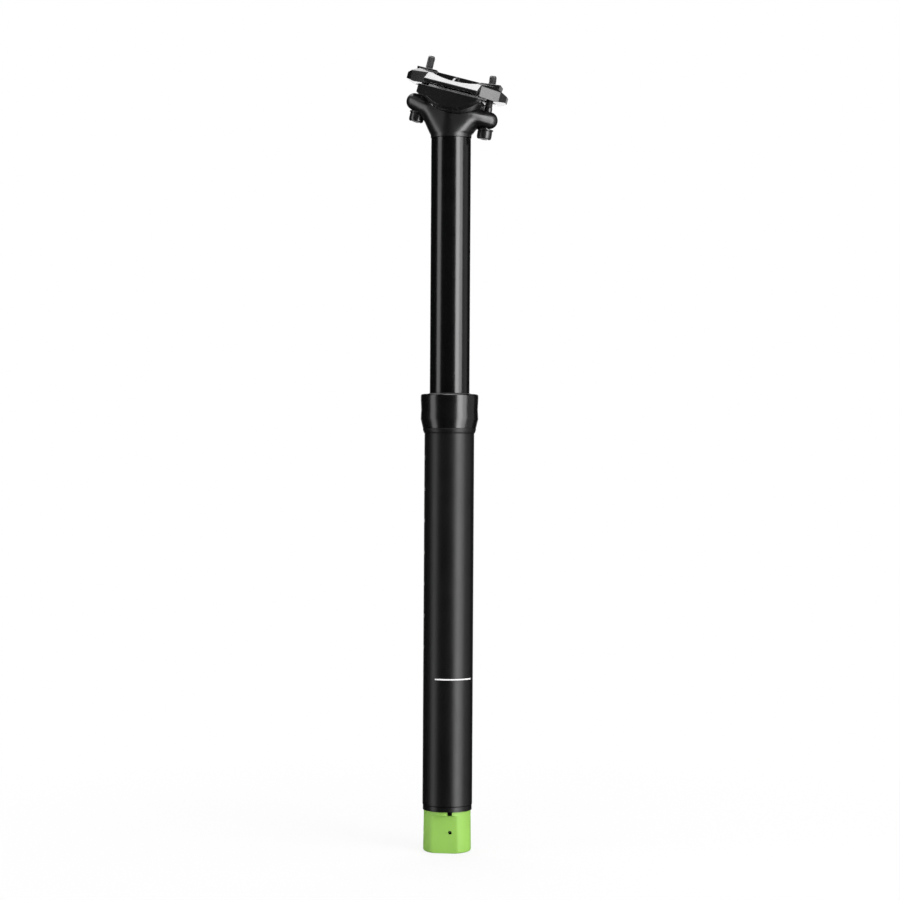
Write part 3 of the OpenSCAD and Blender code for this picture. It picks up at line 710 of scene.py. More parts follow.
@dataclass
class OuterTube:
    """The matte tube that goes into the bicycle's frame, with its printed depth scale.

    Attributes:
        bore: Inner radius.
        shoulder_height: Height of the shoulder that stops the tube.
        shoulder_step: How far the shoulder stands out.
        thread_step: How far the collar's thread stands out.
        insertion: Height of the insertion line's lower edge above the tube's foot.
        line: Height of the insertion line.
        ink: Thickness of the print.
        first_tick: Depth of the first mark of the scale.
        last_tick: Depth of the last mark of the scale.
        tick_pitch: Distance between two marks.
    """

    bore: float = 13.9
    shoulder_height: float = 3.2
    shoulder_step: float = 1.1
    thread_step: float = 0.6
    insertion: float = 80.0
    line: float = 0.95
    ink: float = 0.04
    first_tick: float = 70.0
    last_tick: float = 220.0
    tick_pitch: float = 10.0

    def build(self) -> None:
        """Makes the tube and its print."""
        self.radius = radius_of("outer_tube") - self.shoulder_step
        self.foot = top_of("actuator_foot") - 6.5
        self._tube()
        self._line()
        self._ticks()
        self._numbers()

    def _tube(self) -> None:
        """Turns the tube with its shoulder and the collar's thread."""
        step = self.radius + self.shoulder_step
        thread = self.radius + self.thread_step
        top = top_of("outer_tube")
        outline = [
            (self.bore, self.foot), (self.radius - 0.5, self.foot), (self.radius, self.foot + 0.5),
            (self.radius, 0.0), (self.radius + 0.5, 0.5), (step, 2.4), (step, self.shoulder_height),
            (thread, self.shoulder_height), (thread, top), (self.bore, top),
        ]
        piece = Shapes.lathe("outer_tube_skin", Shapes.soften(outline, 0.25), 200)
        Shapes.smooth(piece, 40)
        Shapes.finish(piece, Finishes.MATTE_TUBE, Body.LOWER, "outer_tube")

    def _arc(self, name: str, height: float, start: float, sweep: float, line: float,
             count: int = 1, pitch: float = 0.0) -> None:
        """Prints one or more lines on the tube.

        Args:
            name: Name of the piece.
            height: Height of the first line.
            start: Start angle from +X, in degrees.
            sweep: Swept angle, in degrees.
            line: Height of a line.
            count: Number of lines.
            pitch: Distance between two lines.
        """
        piece = Trees.run(name, Trees.printed_arcs(), {
            "Count": count, "First Height": height * MM, "Pitch": pitch * MM,
            "Radius": self.radius * MM, "Start Angle": math.radians(start), "Sweep": math.radians(sweep),
            "Line Height": line * MM, "Line Depth": 2 * self.ink * MM,
            "Material": Finishes.WHITE_INK.material(),
        })
        Shapes.finish(piece, Finishes.WHITE_INK, Body.LOWER)

    def _line(self) -> None:
        """Prints the insertion line, which stops short of the scale and of the front."""
        height = self.foot + self.insertion + self.line / 2
        self._arc("insertion_line_right", height, -113.5, 95.3, self.line)
        self._arc("insertion_line_left", height, 18.2, 95.3, self.line)

    def _ticks(self) -> None:
        """Prints the marks of the depth scale on the rear side."""
        count = round((self.last_tick - self.first_tick) / self.tick_pitch) + 1
        low = self.foot + self.first_tick
        self._arc("depth_marks", low, 180.0 - 9.0, 18.0, 0.45, count, self.tick_pitch)
        self._arc("depth_half_marks", low + 5.0, 180.0 - 4.0, 8.0, 0.35, count - 1, self.tick_pitch)

    def _numbers(self) -> None:
        """Prints a plain number of centimetres beside every second mark."""
        joined = bmesh.new()
        depth = self.first_tick + 10.0
        while depth <= self.last_tick:
            font = bpy.data.curves.new("number", "FONT")
            font.body = f"{depth / 10.0:.0f}"
            font.size = 3.4 * MM
            font.align_x = "LEFT"
            font.align_y = "CENTER"
            font.resolution_u = 4
            word = bpy.data.objects.new("number", font)
            bpy.context.scene.collection.objects.link(word)
            graph = bpy.context.evaluated_depsgraph_get()
            graph.update()
            flat = bpy.data.meshes.new_from_object(word.evaluated_get(graph))
            bpy.data.objects.remove(word)
            height = (self.foot + depth) * MM
            reach = (self.radius + self.ink) * MM
            for vertex in flat.vertices:
                angle = math.radians(180.0 + 12.0) + vertex.co.x / reach
                vertex.co = Vector((reach * math.cos(angle), reach * math.sin(angle), height + vertex.co.y))
            joined.from_mesh(flat)
            bpy.data.meshes.remove(flat)
            depth += 2.0 * self.tick_pitch
        bmesh.ops.triangulate(joined, faces=joined.faces)
        piece = Shapes.keep("depth_numbers", joined)
        Shapes.finish(piece, Finishes.WHITE_INK, Body.LOWER)


@dataclass
class Collar:
    """The gloss collar that screws on the tube, with its wiper.

    Attributes:
        foot: Height of its lower edge.
        foot_radius: Radius of its lower edge.
        thread_radius: Radius of the thread inside.
        taper: Height of the taper at its foot.
        waist: Depth of the waist.
        edge: Round of its top edge.
        post: Radius of the post inside.
        wiper_width: Width of the wiper's ring.
    """

    foot: float = 3.2
    foot_radius: float = 16.9
    thread_radius: float = 16.45
    taper: float = 5.9
    waist: float = 0.3
    edge: float = 1.3
    post: float = 12.7
    wiper_width: float = 3.2

    def build(self) -> None:
        """Makes the collar and the wiper."""
        radius = radius_of("collar")
        top = top_of("collar")
        post = self.post
        floor = bottom_of("wiper_seal")
        web = floor - 2.0
        pocket = post + self.wiper_width
        bend = self.foot + self.taper
        waist = bend + (top - bend) * 0.38
        outline = [
            (self.thread_radius, self.foot), (self.foot_radius, self.foot), (radius, bend),
            (radius - self.waist, waist), (radius, top - 4.0), *self._top_edge(radius, top), (pocket + 0.05, top),
            (pocket + 0.05, floor), (post + 0.6, floor), (post + 0.6, web), (self.thread_radius, web),
        ]
        piece = Shapes.lathe("collar_skin", Shapes.soften(outline, 0.7, 6), 200)
        Shapes.smooth(piece, 45)
        Shapes.finish(piece, Finishes.GLOSS_COLLAR, Body.LOWER, "collar")
        lip = post + 0.05
        tip = top_of("wiper_seal")
        wiper = [
            (lip + 0.6, floor), (pocket, floor), (pocket, top - 0.6), (lip + 1.2, top - 0.6),
            (lip + 0.5, tip), (lip, tip - 0.3), (lip + 0.6, top - 2.0),
        ]
        seal = Shapes.lathe("wiper_skin", Shapes.soften(wiper, 0.2, 3), 160)
        Shapes.smooth(seal, 45)
        Shapes.finish(seal, Finishes.RUBBER, Body.LOWER, "wiper_seal")

    def _top_edge(self, radius: float, top: float) -> list[Point2]:
        """Points of the round between the collar's side and its top."""
        points = []
        for step in range(9):
            turn = 0.5 * math.pi * step / 8
            points.append((radius - self.edge * (1.0 - math.cos(turn)), top - self.edge * (1.0 - math.sin(turn))))
        return points


@dataclass
class Stanchion:
    """The gloss inner post that slides in the tube.

    Attributes:
        radius: Outer radius.
        bore: Inner radius.
        seat: Depth of the seat of the lower bushing.
        seat_low: Height of that seat above the foot.
        seat_length: Length of that seat.
    """

    radius: float = 12.7
    bore: float = 10.3
    seat: float = 0.7
    seat_low: float = 2.0
    seat_length: float = 14.0

    def build(self) -> None:
        """Turns the post."""
        low = bottom_of("stanchion")
        high = top_of("stanchion")
        neck = self.radius - self.seat
        outline = [
            (self.bore, low), (self.radius, low), (self.radius, low + self.seat_low),
            (neck, low + self.seat_low), (neck, low + self.seat_low + self.seat_length),
            (self.radius, low + self.seat_low + self.seat_length), (self.radius, high), (self.bore, high),
        ]
        piece = Shapes.lathe("stanchion_skin", Shapes.soften(outline, 0.2, 3), 200)
        Shapes.smooth(piece, 40)
        Shapes.finish(piece, Finishes.GLOSS_STANCHION, Body.UPPER, "stanchion")


@dataclass
class HeadFrame:
    """The leaning frame of the head and of its two bolts.

    Attributes:
        rise: Height of the ears' middle above the stanchion.
        tilt: Lean of the head to the front, in degrees.
        nut_reach: Distance of a barrel nut from the middle.
        nut_height: Height of the barrel nuts' flat tops.
        rear_lean: Lean of the rear bolt in the head, in degrees.
        front_lean: Lean of the front bolt in the head, in degrees.
        seat: Height of the spot faces under the ears.
        rock: Height of the rocking centre.
        cradle: Radius of the rocking face.
    """

    rise: float = 17.6
    tilt: float = 15.0
    nut_reach: float = 21.0
    nut_height: float = 22.0
    rear_lean: float = 1.0
    front_lean: float = 6.5
    seat: float = -6.0
    rock: float = 23.0
    cradle: float = 25.7

    def head(self) -> Matrix:
        """Place of the head, in millimetres."""
        high = top_of("stanchion") + self.rise
        return Matrix.Translation((0, 0, high)) @ Matrix.Rotation(math.radians(self.tilt), 4, "Y")

    def lean(self, side: Side) -> float:
        """Lean of a bolt in the head, in radians."""
        return math.radians(self.front_lean if side is Side.FRONT else self.rear_lean)

    def bolt(self, side: Side) -> Matrix:
        """Place of a bolt, whose origin is at the flat top of its nut, in millimetres."""
        shift = Matrix.Translation((side.value * self.nut_reach, 0, self.nut_height))
        return self.head() @ shift @ Matrix.Rotation(-self.lean(side), 4, "Y")

    def spot(self, side: Side) -> float:
        """Height of a spot face in its bolt's frame."""
        return (self.seat - self.nut_height) / math.cos(self.lean(side))


@dataclass
class Head:
    """The forged head on the stanchion, with two ears, two bolts and their washers.

    Attributes:
        place: The head's frame.
        rear_reach: Distance of the rear ear's tip from the middle.
        front_reach: Distance of the front ear's tip from the middle.
        ear: Radius of an ear's tip.
        spread: Half the width between the round sides of an ear.
        middle: Half the width of the head's middle.
        knuckle: Half the width of an arm half way along.
        neck: Radius of the neck.
        blend_end: Distance from the middle at which the arms' blend ends.
        blend_width: Length over which the blend fades.
        blend_turns: Rounds of smoothing of the blend.
        bolt: Radius of a bolt.
        pitch: Pitch of its thread.
        thread: Length of its thread.
        cap_radius: Radius of its head.
        cap_height: Height of its head.
        rear_show: Bolt left above the rear nut.
        front_show: Bolt left above the front nut.
    """

    place: HeadFrame
    rear_reach: float = 24.3
    front_reach: float = 25.2
    ear: float = 5.5
    spread: float = 0.5
    middle: float = 15.0
    knuckle: float = 11.5
    neck: float = 13.0
    blend_end: float = 23.0
    blend_width: float = 9.0
    blend_turns: int = 90
    bolt: float = 2.5
    pitch: float = 0.8
    thread: float = 20.0
    cap_radius: float = 4.7
    cap_height: float = 5.5
    rear_show: float = 8.6
    front_show: float = 6.0

    def build(self) -> None:
        """Makes the forging, the bolts and the washers."""
        self._forging()
        bolts = [self._bolt(side) for side in Side]
        Shapes.finish(self._join("clamp_bolt_set", bolts), Finishes.BLACK_STEEL, Body.UPPER, "clamp_bolts")
        washers = [self._washer(side) for side in Side]
        Shapes.finish(self._join("bolt_washer_set", washers), Finishes.BLACK_STEEL, Body.UPPER, "bolt_washers")

    @staticmethod
    def _join(name: str, parts: Sequence[bpy.types.Object]) -> bpy.types.Object:
        """Joins several pieces into one mesh."""
        joined = bmesh.new()
        for part in parts:
            joined.from_mesh(part.data)
            bpy.data.objects.remove(part)
        return Shapes.smooth(Shapes.keep(name, joined), 35)

    def _ball(self, middle: Vector, radii: Vector) -> list[Vector]:
        """Points of an ellipsoid in the head's frame, in millimetres."""
        points = []
        for i in range(1, 12):
            fall = math.pi * i / 12
            for j in range(24):
                turn = 2 * math.pi * j / 24
                ray = Vector((math.sin(fall) * math.cos(turn), math.sin(fall) * math.sin(turn), math.cos(fall)))
                points.append(middle + Vector(a * b for a, b in zip(ray, radii)))
        return points

    def _forging(self) -> None:
        """Sweeps the two arms out of the neck, blends them and cuts the seats."""
        high = top_of("stanchion")
        place = self.place.head()
        back = place.inverted()
        made = bmesh.new()
        wide = self.spread + self.ear
        collar = [back @ point for point in Shapes.circle(self.neck, high + 1.5, 48)]
        collar += [back @ point for point in Shapes.circle(self.neck, high + 3.5, 48)]
        core = self._ball(Vector((0, 0, -1.0)), Vector((7.0, self.middle, 7.0)))
        rear = self._ball(Vector((-self.rear_reach, 0, 0)), Vector((self.ear, wide, self.ear)))
        rear_bend = self._ball(Vector((-12.2, 0, -2.7)), Vector((7.4, self.knuckle, 7.4)))
        front = self._ball(Vector((self.front_reach, 0, 0)), Vector((self.ear, wide, self.ear)))
        front_bend = self._ball(Vector((14.0, 0, -0.8)), Vector((6.8, self.knuckle, 6.4)))
        for points in (rear + rear_bend, rear_bend + core + collar, front + front_bend, front_bend + core + collar):
            hull = bmesh.new()
            for point in points:
                hull.verts.new((place @ point) * MM)
            bmesh.ops.convex_hull(hull, input=hull.verts)
            loose = [v for v in hull.verts if not v.link_faces]
            bmesh.ops.delete(hull, geom=loose, context="VERTS")
            part = bpy.data.meshes.new("part")
            hull.to_mesh(part)
            hull.free()
            made.from_mesh(part)
            bpy.data.meshes.remove(part)
        neck = Shapes.lathe("neck", Shapes.soften(
            [(0.0, high), (self.neck, high), (self.neck, high + 4.0), (0.0, high + 5.0)],
            0.6), 96)
        made.from_mesh(neck.data)
        bpy.data.objects.remove(neck)
        piece = Shapes.keep("head_forging", made)
        Shapes.rounded(piece, 0.55, 8)
        self._blend(piece, back)
        self._trim(piece, high)
        centre = place @ Vector((0, 0, self.place.rock))
        tools = [Shapes.bar_y("trough", self.place.cradle + 0.3, 80.0, centre, 160)]
        for side in Side:
            spot = self.place.spot(side)
            hole = Shapes.bar_z("hole", self.bolt + 0.3, -70.0, 20.0)
            seat = Shapes.bar_z("seat", self.cap_radius + 0.8, spot - 30.0, spot)
            tools.append(Shapes.place(hole, self.place.bolt(side)))
            tools.append(Shapes.place(seat, self.place.bolt(side)))
        Shapes.cut(piece, *tools)
        spigot = Shapes.lathe("spigot", Shapes.soften(
            [(0.0, high - 25.0), (10.25, high - 25.0), (10.25, high + 0.5), (0.0, high + 0.5)], 0.4), 96)
        both = self._join("head_skin", [piece, spigot])
        Shapes.smooth(both, 38)
        Shapes.finish(both, Finishes.BLACK_FORGING, Body.UPPER, "head")

    def _blend(self, piece: bpy.types.Object, back: Matrix) -> None:
        """Runs the arms softly into the neck and leaves the ears' tips as they are.

        Args:
            piece: The rough forging.
            back: Matrix into the head's frame, in millimetres.
        """
        group = piece.vertex_groups.new(name="blend")
        for vertex in piece.data.vertices:
            reach = abs((back @ (vertex.co / MM)).x)
            share = min(1.0, max(0.0, (self.blend_end - reach) / self.blend_width))
            group.add([vertex.index], share * share * (3.0 - 2.0 * share), "REPLACE")
        soft = piece.modifiers.new("soft", "SMOOTH")
        soft.factor = 0.5
        soft.iterations = self.blend_turns
        soft.vertex_group = group.name
        Shapes.bake(piece)
        piece.vertex_groups.clear()

    def _trim(self, piece: bpy.types.Object, high: float) -> None:
        """Gives the neck back its clean round rim after the smoothing."""
        keep = self.neck * MM
        for vertex in piece.data.vertices:
            reach = math.hypot(vertex.co.x, vertex.co.y)
            if vertex.co.z < (high + 3.2) * MM and reach > 0.8 * keep:
                blend = min(1.0, max(0.0, ((high + 3.2) * MM - vertex.co.z) / (1.2 * MM)))
                scale = 1.0 + blend * (keep / reach - 1.0)
                vertex.co.x *= scale
                vertex.co.y *= scale

    def _bolt(self, side: Side) -> bpy.types.Object:
        """A socket cap bolt with a real thread."""
        spot = self.place.spot(side) - 1.0
        base = spot - self.cap_height
        core = self.bolt - 0.45
        show = self.front_show if side is Side.FRONT else self.rear_show
        start = show - self.thread
        outline = [
            (0.0, base), (self.cap_radius - 1.1, base), (self.cap_radius - 0.35, base + 0.45),
            (self.cap_radius, base + 1.5), (self.cap_radius, spot),
            (self.bolt, spot), (self.bolt, start - 0.5),
            (core, start), (core, show - 0.45), (core - 0.45, show), (0.0, show),
        ]
        shank = Shapes.lathe("shank", Shapes.soften(outline, 0.5, 4), 64)
        made = bmesh.new()
        bmesh.ops.create_cone(made, cap_ends=True, segments=6, radius1=2.31 * MM, radius2=2.31 * MM, depth=5.0 * MM)
        bmesh.ops.translate(made, verts=made.verts, vec=Vector((0, 0, base * MM)))
        Shapes.cut(shank, Shapes.keep("socket", made))
        ridge = Trees.run("ridge", Trees.thread(), {
            "Radius": (core - 0.02) * MM, "Turns": (self.thread - 0.9) / self.pitch,
            "Length": (self.thread - 0.9) * MM, "Ridge": 0.44 * MM, "Sides": 4,
            "Material": Finishes.BLACK_STEEL.material(),
        })
        Shapes.place(ridge, Matrix.Translation((0, 0, start + 0.2)))
        whole = self._join("bolt", [shank, ridge])
        return Shapes.place(whole, self.place.bolt(side))

    def _washer(self, side: Side) -> bpy.types.Object:
        """A flat washer under a bolt's head."""
        spot = self.place.spot(side)
        rim = self.cap_radius + 0.5
        outline = [(2.55, spot - 1.0), (rim, spot - 1.0), (rim, spot), (2.55, spot)]
        ring = Shapes.lathe("washer", Shapes.soften(outline, 0.2, 3), 64)
        return Shapes.place(ring, self.place.bolt(side))


@dataclass
class SaddleClamp:
    """The rocking cradle, the upper clamp and the two barrel nuts.

    Attributes:
        place: The head's frame.
        voxel: Size of the faces of the rounded pieces.
        turns: Rounds of smoothing of their edges.
        share: Share of the faces that is kept.
        edge: Corner of a horn's root, at its top, in the head's frame.
        edge_turn: Way that a horn's side faces, from the front, in degrees.
        edge_rise: Way that its chamfer faces, above level, in degrees.
        edge_cut: How deep the chamfer cuts that corner.
        lug_strips: Inner side, outer side and top of the strips of a lug under the cradle's rear corners.
    """

    place: HeadFrame
    voxel: float = 0.2
    turns: int = 6
    share: float = 0.3
    edge: Vector = field(default_factory=lambda: Vector((17.5, 18.0, 18.4)))
    edge_turn: float = 55.0
    edge_rise: float = 40.0
    edge_cut: float = 0.5
    lug_strips: tuple[tuple[float, float, float], ...] = ((16.5, 18.2, 8.2), (16.5, 27.4, 6.3), (25.8, 27.4, 8.2))

    def _lugs(self, piece: bpy.types.Object) -> None:
        """Adds a lug under each rear corner, clear of the head and below the rail's groove.

        Args:
            piece: The cradle, in the head's frame.
        """
        made = bmesh.new()
        made.from_mesh(piece.data)
        for way in (-1, 1):
            for inner, outer, top in self.lug_strips:
                outline = ((-19.98, 3.3), (-13.5, 2.2), (-13.5, top), (-19.98, top))
                corners = [made.verts.new(Vector((x, way * y, z)) * MM) for x, z in outline for y in (inner, outer)]
                bmesh.ops.convex_hull(made, input=corners)
        made.to_mesh(piece.data)
        made.free()

    def _horn_edges(self, piece: bpy.types.Object) -> None:
        """Cuts a chamfer along the top of each side of the two horns.

        Args:
            piece: The upper clamp, in the head's frame.
        """
        turn = math.radians(self.edge_turn)
        rise = math.radians(self.edge_rise)
        for way_x in (-1, 1):
            for way_y in (-1, 1):
                flip = Vector((way_x, way_y, 1.0))
                out = Vector((math.cos(turn) * math.cos(rise), math.sin(turn) * math.cos(rise), math.sin(rise)))
                start = (self.edge - out * self.edge_cut) * flip
                block = Shapes.block("chamfer", Vector((-20.0, -20.0, 0.0)), Vector((20.0, 20.0, 20.0)))
                aim = (out * flip).to_track_quat("Z", "Y").to_matrix().to_4x4()
                middle = start + Vector((6.0 * way_x, -4.0 * way_y, 0.0))
                Shapes.place(block, Matrix.Translation(middle) @ aim)
                root = Vector((self.edge.x + 0.3, 60.0, 60.0))
                Shapes.cut(block, Shapes.block("middle", -root, root))
                Shapes.cut(piece, block)

    def build(self) -> None:
        """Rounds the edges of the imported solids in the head's own frame and dresses them."""
        here = self.place.head()
        for node, name, finish, body in (
            ("lower_cradle", "cradle_skin", Finishes.CLAMP, Body.CLAMP),
            ("upper_clamp", "upper_clamp_skin", Finishes.CLAMP, Body.CLAMP),
            ("front_barrel_nut", "front_nut_skin", Finishes.BLACK_STEEL, Body.FRONT_NUT),
            ("rear_barrel_nut", "rear_nut_skin", Finishes.BLACK_STEEL, Body.REAR_NUT),
        ):
            piece = Shapes.copy_of(node, name)
            fine = self.voxel if body is Body.CLAMP else 0.22
            Shapes.place(piece, here.inverted())
            if node == "upper_clamp":
                self._horn_edges(piece)
            if node == "lower_cradle":
                self._lugs(piece)
            Shapes.rounded(piece, fine, self.turns)
            if body is Body.CLAMP:
                Shapes.thin(piece, self.share)
            Shapes.place(piece, here @ Matrix.Diagonal((1.0, 0.9999, 1.0, 1.0)))
            piece.data.shade_smooth()
            Shapes.finish(piece, finish, body, node)


@dataclass
class ActuatorCap:
    """The green cap over the actuator, round with two flats.

    Attributes:
        rim: Radius at the rim.
        floor: Radius at the floor.
        flat: Half the distance between the flats at the floor.
        wall: Thickness of the wall.
        bottom_round: Round at the floor.
        flat_round: Round at the floor under a flat.
        band: Height of the round rim above the flats.
        mark_x: Place of the notch and the small hole.
        cable_x: Place of the cable's inlet.
        inlet: Radius of the cable's inlet.
    """

    rim: float = 14.9
    floor: float = 15.2
    flat: float = 12.7
    wall: float = 1.8
    bottom_round: float = 1.4
    flat_round: float = 0.5
    band: float = 1.98
    mark_x: float = 3.5
    cable_x: float = 7.8
    inlet: float = 3.2

    def _ring(self, radius: float, flat: float, height: float) -> Ring:
        """A ring of the cap's section, with soft edges between round and flat."""
        ring = []
        for i in range(240):
            turn = 2 * math.pi * i / 240
            face = flat / max(abs(math.sin(turn)), 1e-4)
            blend = 3.2
            low = min(radius, face)
            reach = low - math.log(math.exp(-blend * (radius - low)) + math.exp(-blend * min(face - low, 60.0))) / blend
            ring.append(Vector((reach * math.cos(turn), reach * math.sin(turn), height)))
        return ring

    def build(self) -> None:
        """Lofts the cap and cuts its openings."""
        low = bottom_of("actuator_cap") + 0.001
        high = top_of("actuator_cap")
        rings: list[Ring] = []
        inner = self.wall
        for share in (0.05, 0.4, 0.75):
            rings.append(self._ring((self.floor - self.bottom_round) * share, (self.flat - self.flat_round) * share, low))
        for step in range(9):
            turn = 0.5 * math.pi * step / 8
            inset = self.bottom_round * (1.0 - math.sin(turn))
            lift = self.bottom_round * (1.0 - math.cos(turn))
            short = max(0.0, 1.0 - lift / self.flat_round)
            edge = self.flat_round * (1.0 - math.sqrt(1.0 - short ** 2))
            rings.append(self._ring(self.floor - inset, self.flat - edge, low + lift))
        band = high - self.band
        for share in (0.25, 0.5, 0.75, 1.0):
            height = low + self.bottom_round + (band - 0.9 - low - self.bottom_round) * share
            rings.append(self._ring(self.floor + (self.rim - self.floor) * share, self.flat, height))
        for share in (0.08, 0.3, 0.6, 0.85, 1.0):
            rings.append(self._ring(self.rim, self.flat + (self.rim + 1.5 - self.flat) * share, band - 0.7 + 0.7 * share))
        rings.append(self._ring(self.rim, self.rim + 1.5, high - 0.6))
        rings.append(self._ring(self.rim - 0.16, self.rim + 1.5, high - 0.18))
        rings.append(self._ring(self.rim - 0.55, self.rim + 1.5, high))
        rings.append(self._ring(self.rim - inner, self.flat - inner, high))
        rings.append(self._ring(self.rim - inner, self.flat - inner, low + 4.0))
        rings.append(self._ring(self.rim - inner - 1.0, self.flat - inner - 1.0, low + 2.2))
        for share in (0.7, 0.35, 0.05):
            rings.append(self._ring((self.rim - inner - 1.0) * share, (self.flat - inner - 1.0) * share, low + self.wall))
        piece = Shapes.loft("cap_skin", rings, closed=True)
        front = -self.flat
        notch = Shapes.block("notch", Vector((self.mark_x - 1.5, front - 4.0, high - 2.6)),
                             Vector((self.mark_x + 1.5, front + 3.0, high + 2.0)))
        hole = Shapes.bar_y("hole", 1.2, 6.0, Vector((self.mark_x, front, 0.5 * (low + high))), 48)
        inlet = Shapes.bar_z("inlet", self.inlet, low - 1.0, low + 4.0)
        Shapes.place(inlet, Matrix.Translation((self.cable_x, 0, 0)))
        Shapes.cut(piece, notch, hole, inlet)
        Shapes.smooth(piece, 40)
        Shapes.finish(piece, Finishes.GREEN_PLASTIC, Body.LOWER, "actuator_cap")


@dataclass
class ReturnSpring:
    """The spring under the actuator's lever.

    Attributes:
        turns: Number of turns.
        wire: Diameter of the wire, in millimetres.
        press: How far the lever presses it down, in millimetres; not used.
    """

    turns: float = 4.0
    wire: float = 0.5
    press: float = 2.0

    def build(self) -> None:
        """Winds the spring between the lever and the foot."""
        low, high = (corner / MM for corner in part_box("lever_spring"))
        middle = (low + high) / 2
        length = high.z - low.z
        spring = Trees.run("return_spring", Trees.thread(), {
            "Radius": (high.y - self.wire / 2) * MM, "Turns": self.turns, "Length": (length - self.wire) * MM,
            "Ridge": self.wire / 2 * MM, "Sides": 12, "Material": Finishes.BRIGHT_STEEL.material(),
        })
        Shapes.place(spring, Matrix.Translation((middle.x, middle.y, low.z + self.wire / 2)))
        Shapes.finish(Shapes.smooth(spring), Finishes.BRIGHT_STEEL, Body.LOWER, "lever_spring")
        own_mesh(spring)


class Inside:
    """The working pieces inside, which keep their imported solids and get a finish."""

    FINISHES: dict[str, Finish] = {
        "upper_bushing": Finishes.BEARING_PLASTIC,
        "actuator_foot": Finishes.FOOT,
        "rod_nut": Finishes.BRIGHT_STEEL,
        "cartridge_rod": Finishes.BRIGHT_STEEL,
        "piston": Finishes.BRASS,
        "piston_seal": Finishes.RUBBER,
        "lever_pivot_pin": Finishes.BRIGHT_STEEL,
        "guide_keys": Finishes.BRASS,
        "glide_bushing": Finishes.BEARING_PLASTIC,
        "cartridge_retainer": Finishes.PLAIN_ALUMINIUM,
        "cartridge_cylinder": Finishes.PLAIN_ALUMINIUM,
        "rod_gland": Finishes.BRASS,
        "rod_seal": Finishes.RUBBER,
        "cartridge_top_plug": Finishes.PLAIN_ALUMINIUM,
        "actuator_lever": Finishes.FOOT,
        "cable_barrel": Finishes.BRIGHT_STEEL,
        "barrel_screw": Finishes.BLACK_STEEL,
        "release_pin": Finishes.BRIGHT_STEEL,
        "floating_piston": Finishes.BRASS,
        "floating_seal": Finishes.RUBBER,
    }

    def dress(self) -> None:
        """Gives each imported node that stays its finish."""
        for node, finish in self.FINISHES.items():
            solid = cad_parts[node]
            if not solid.material_slots:
                solid.data.materials.append(finish.material())
            for slot in solid.material_slots:
                slot.material = finish.material()
            LOG.info("%s keeps its solid, finish %s", node, finish.name)


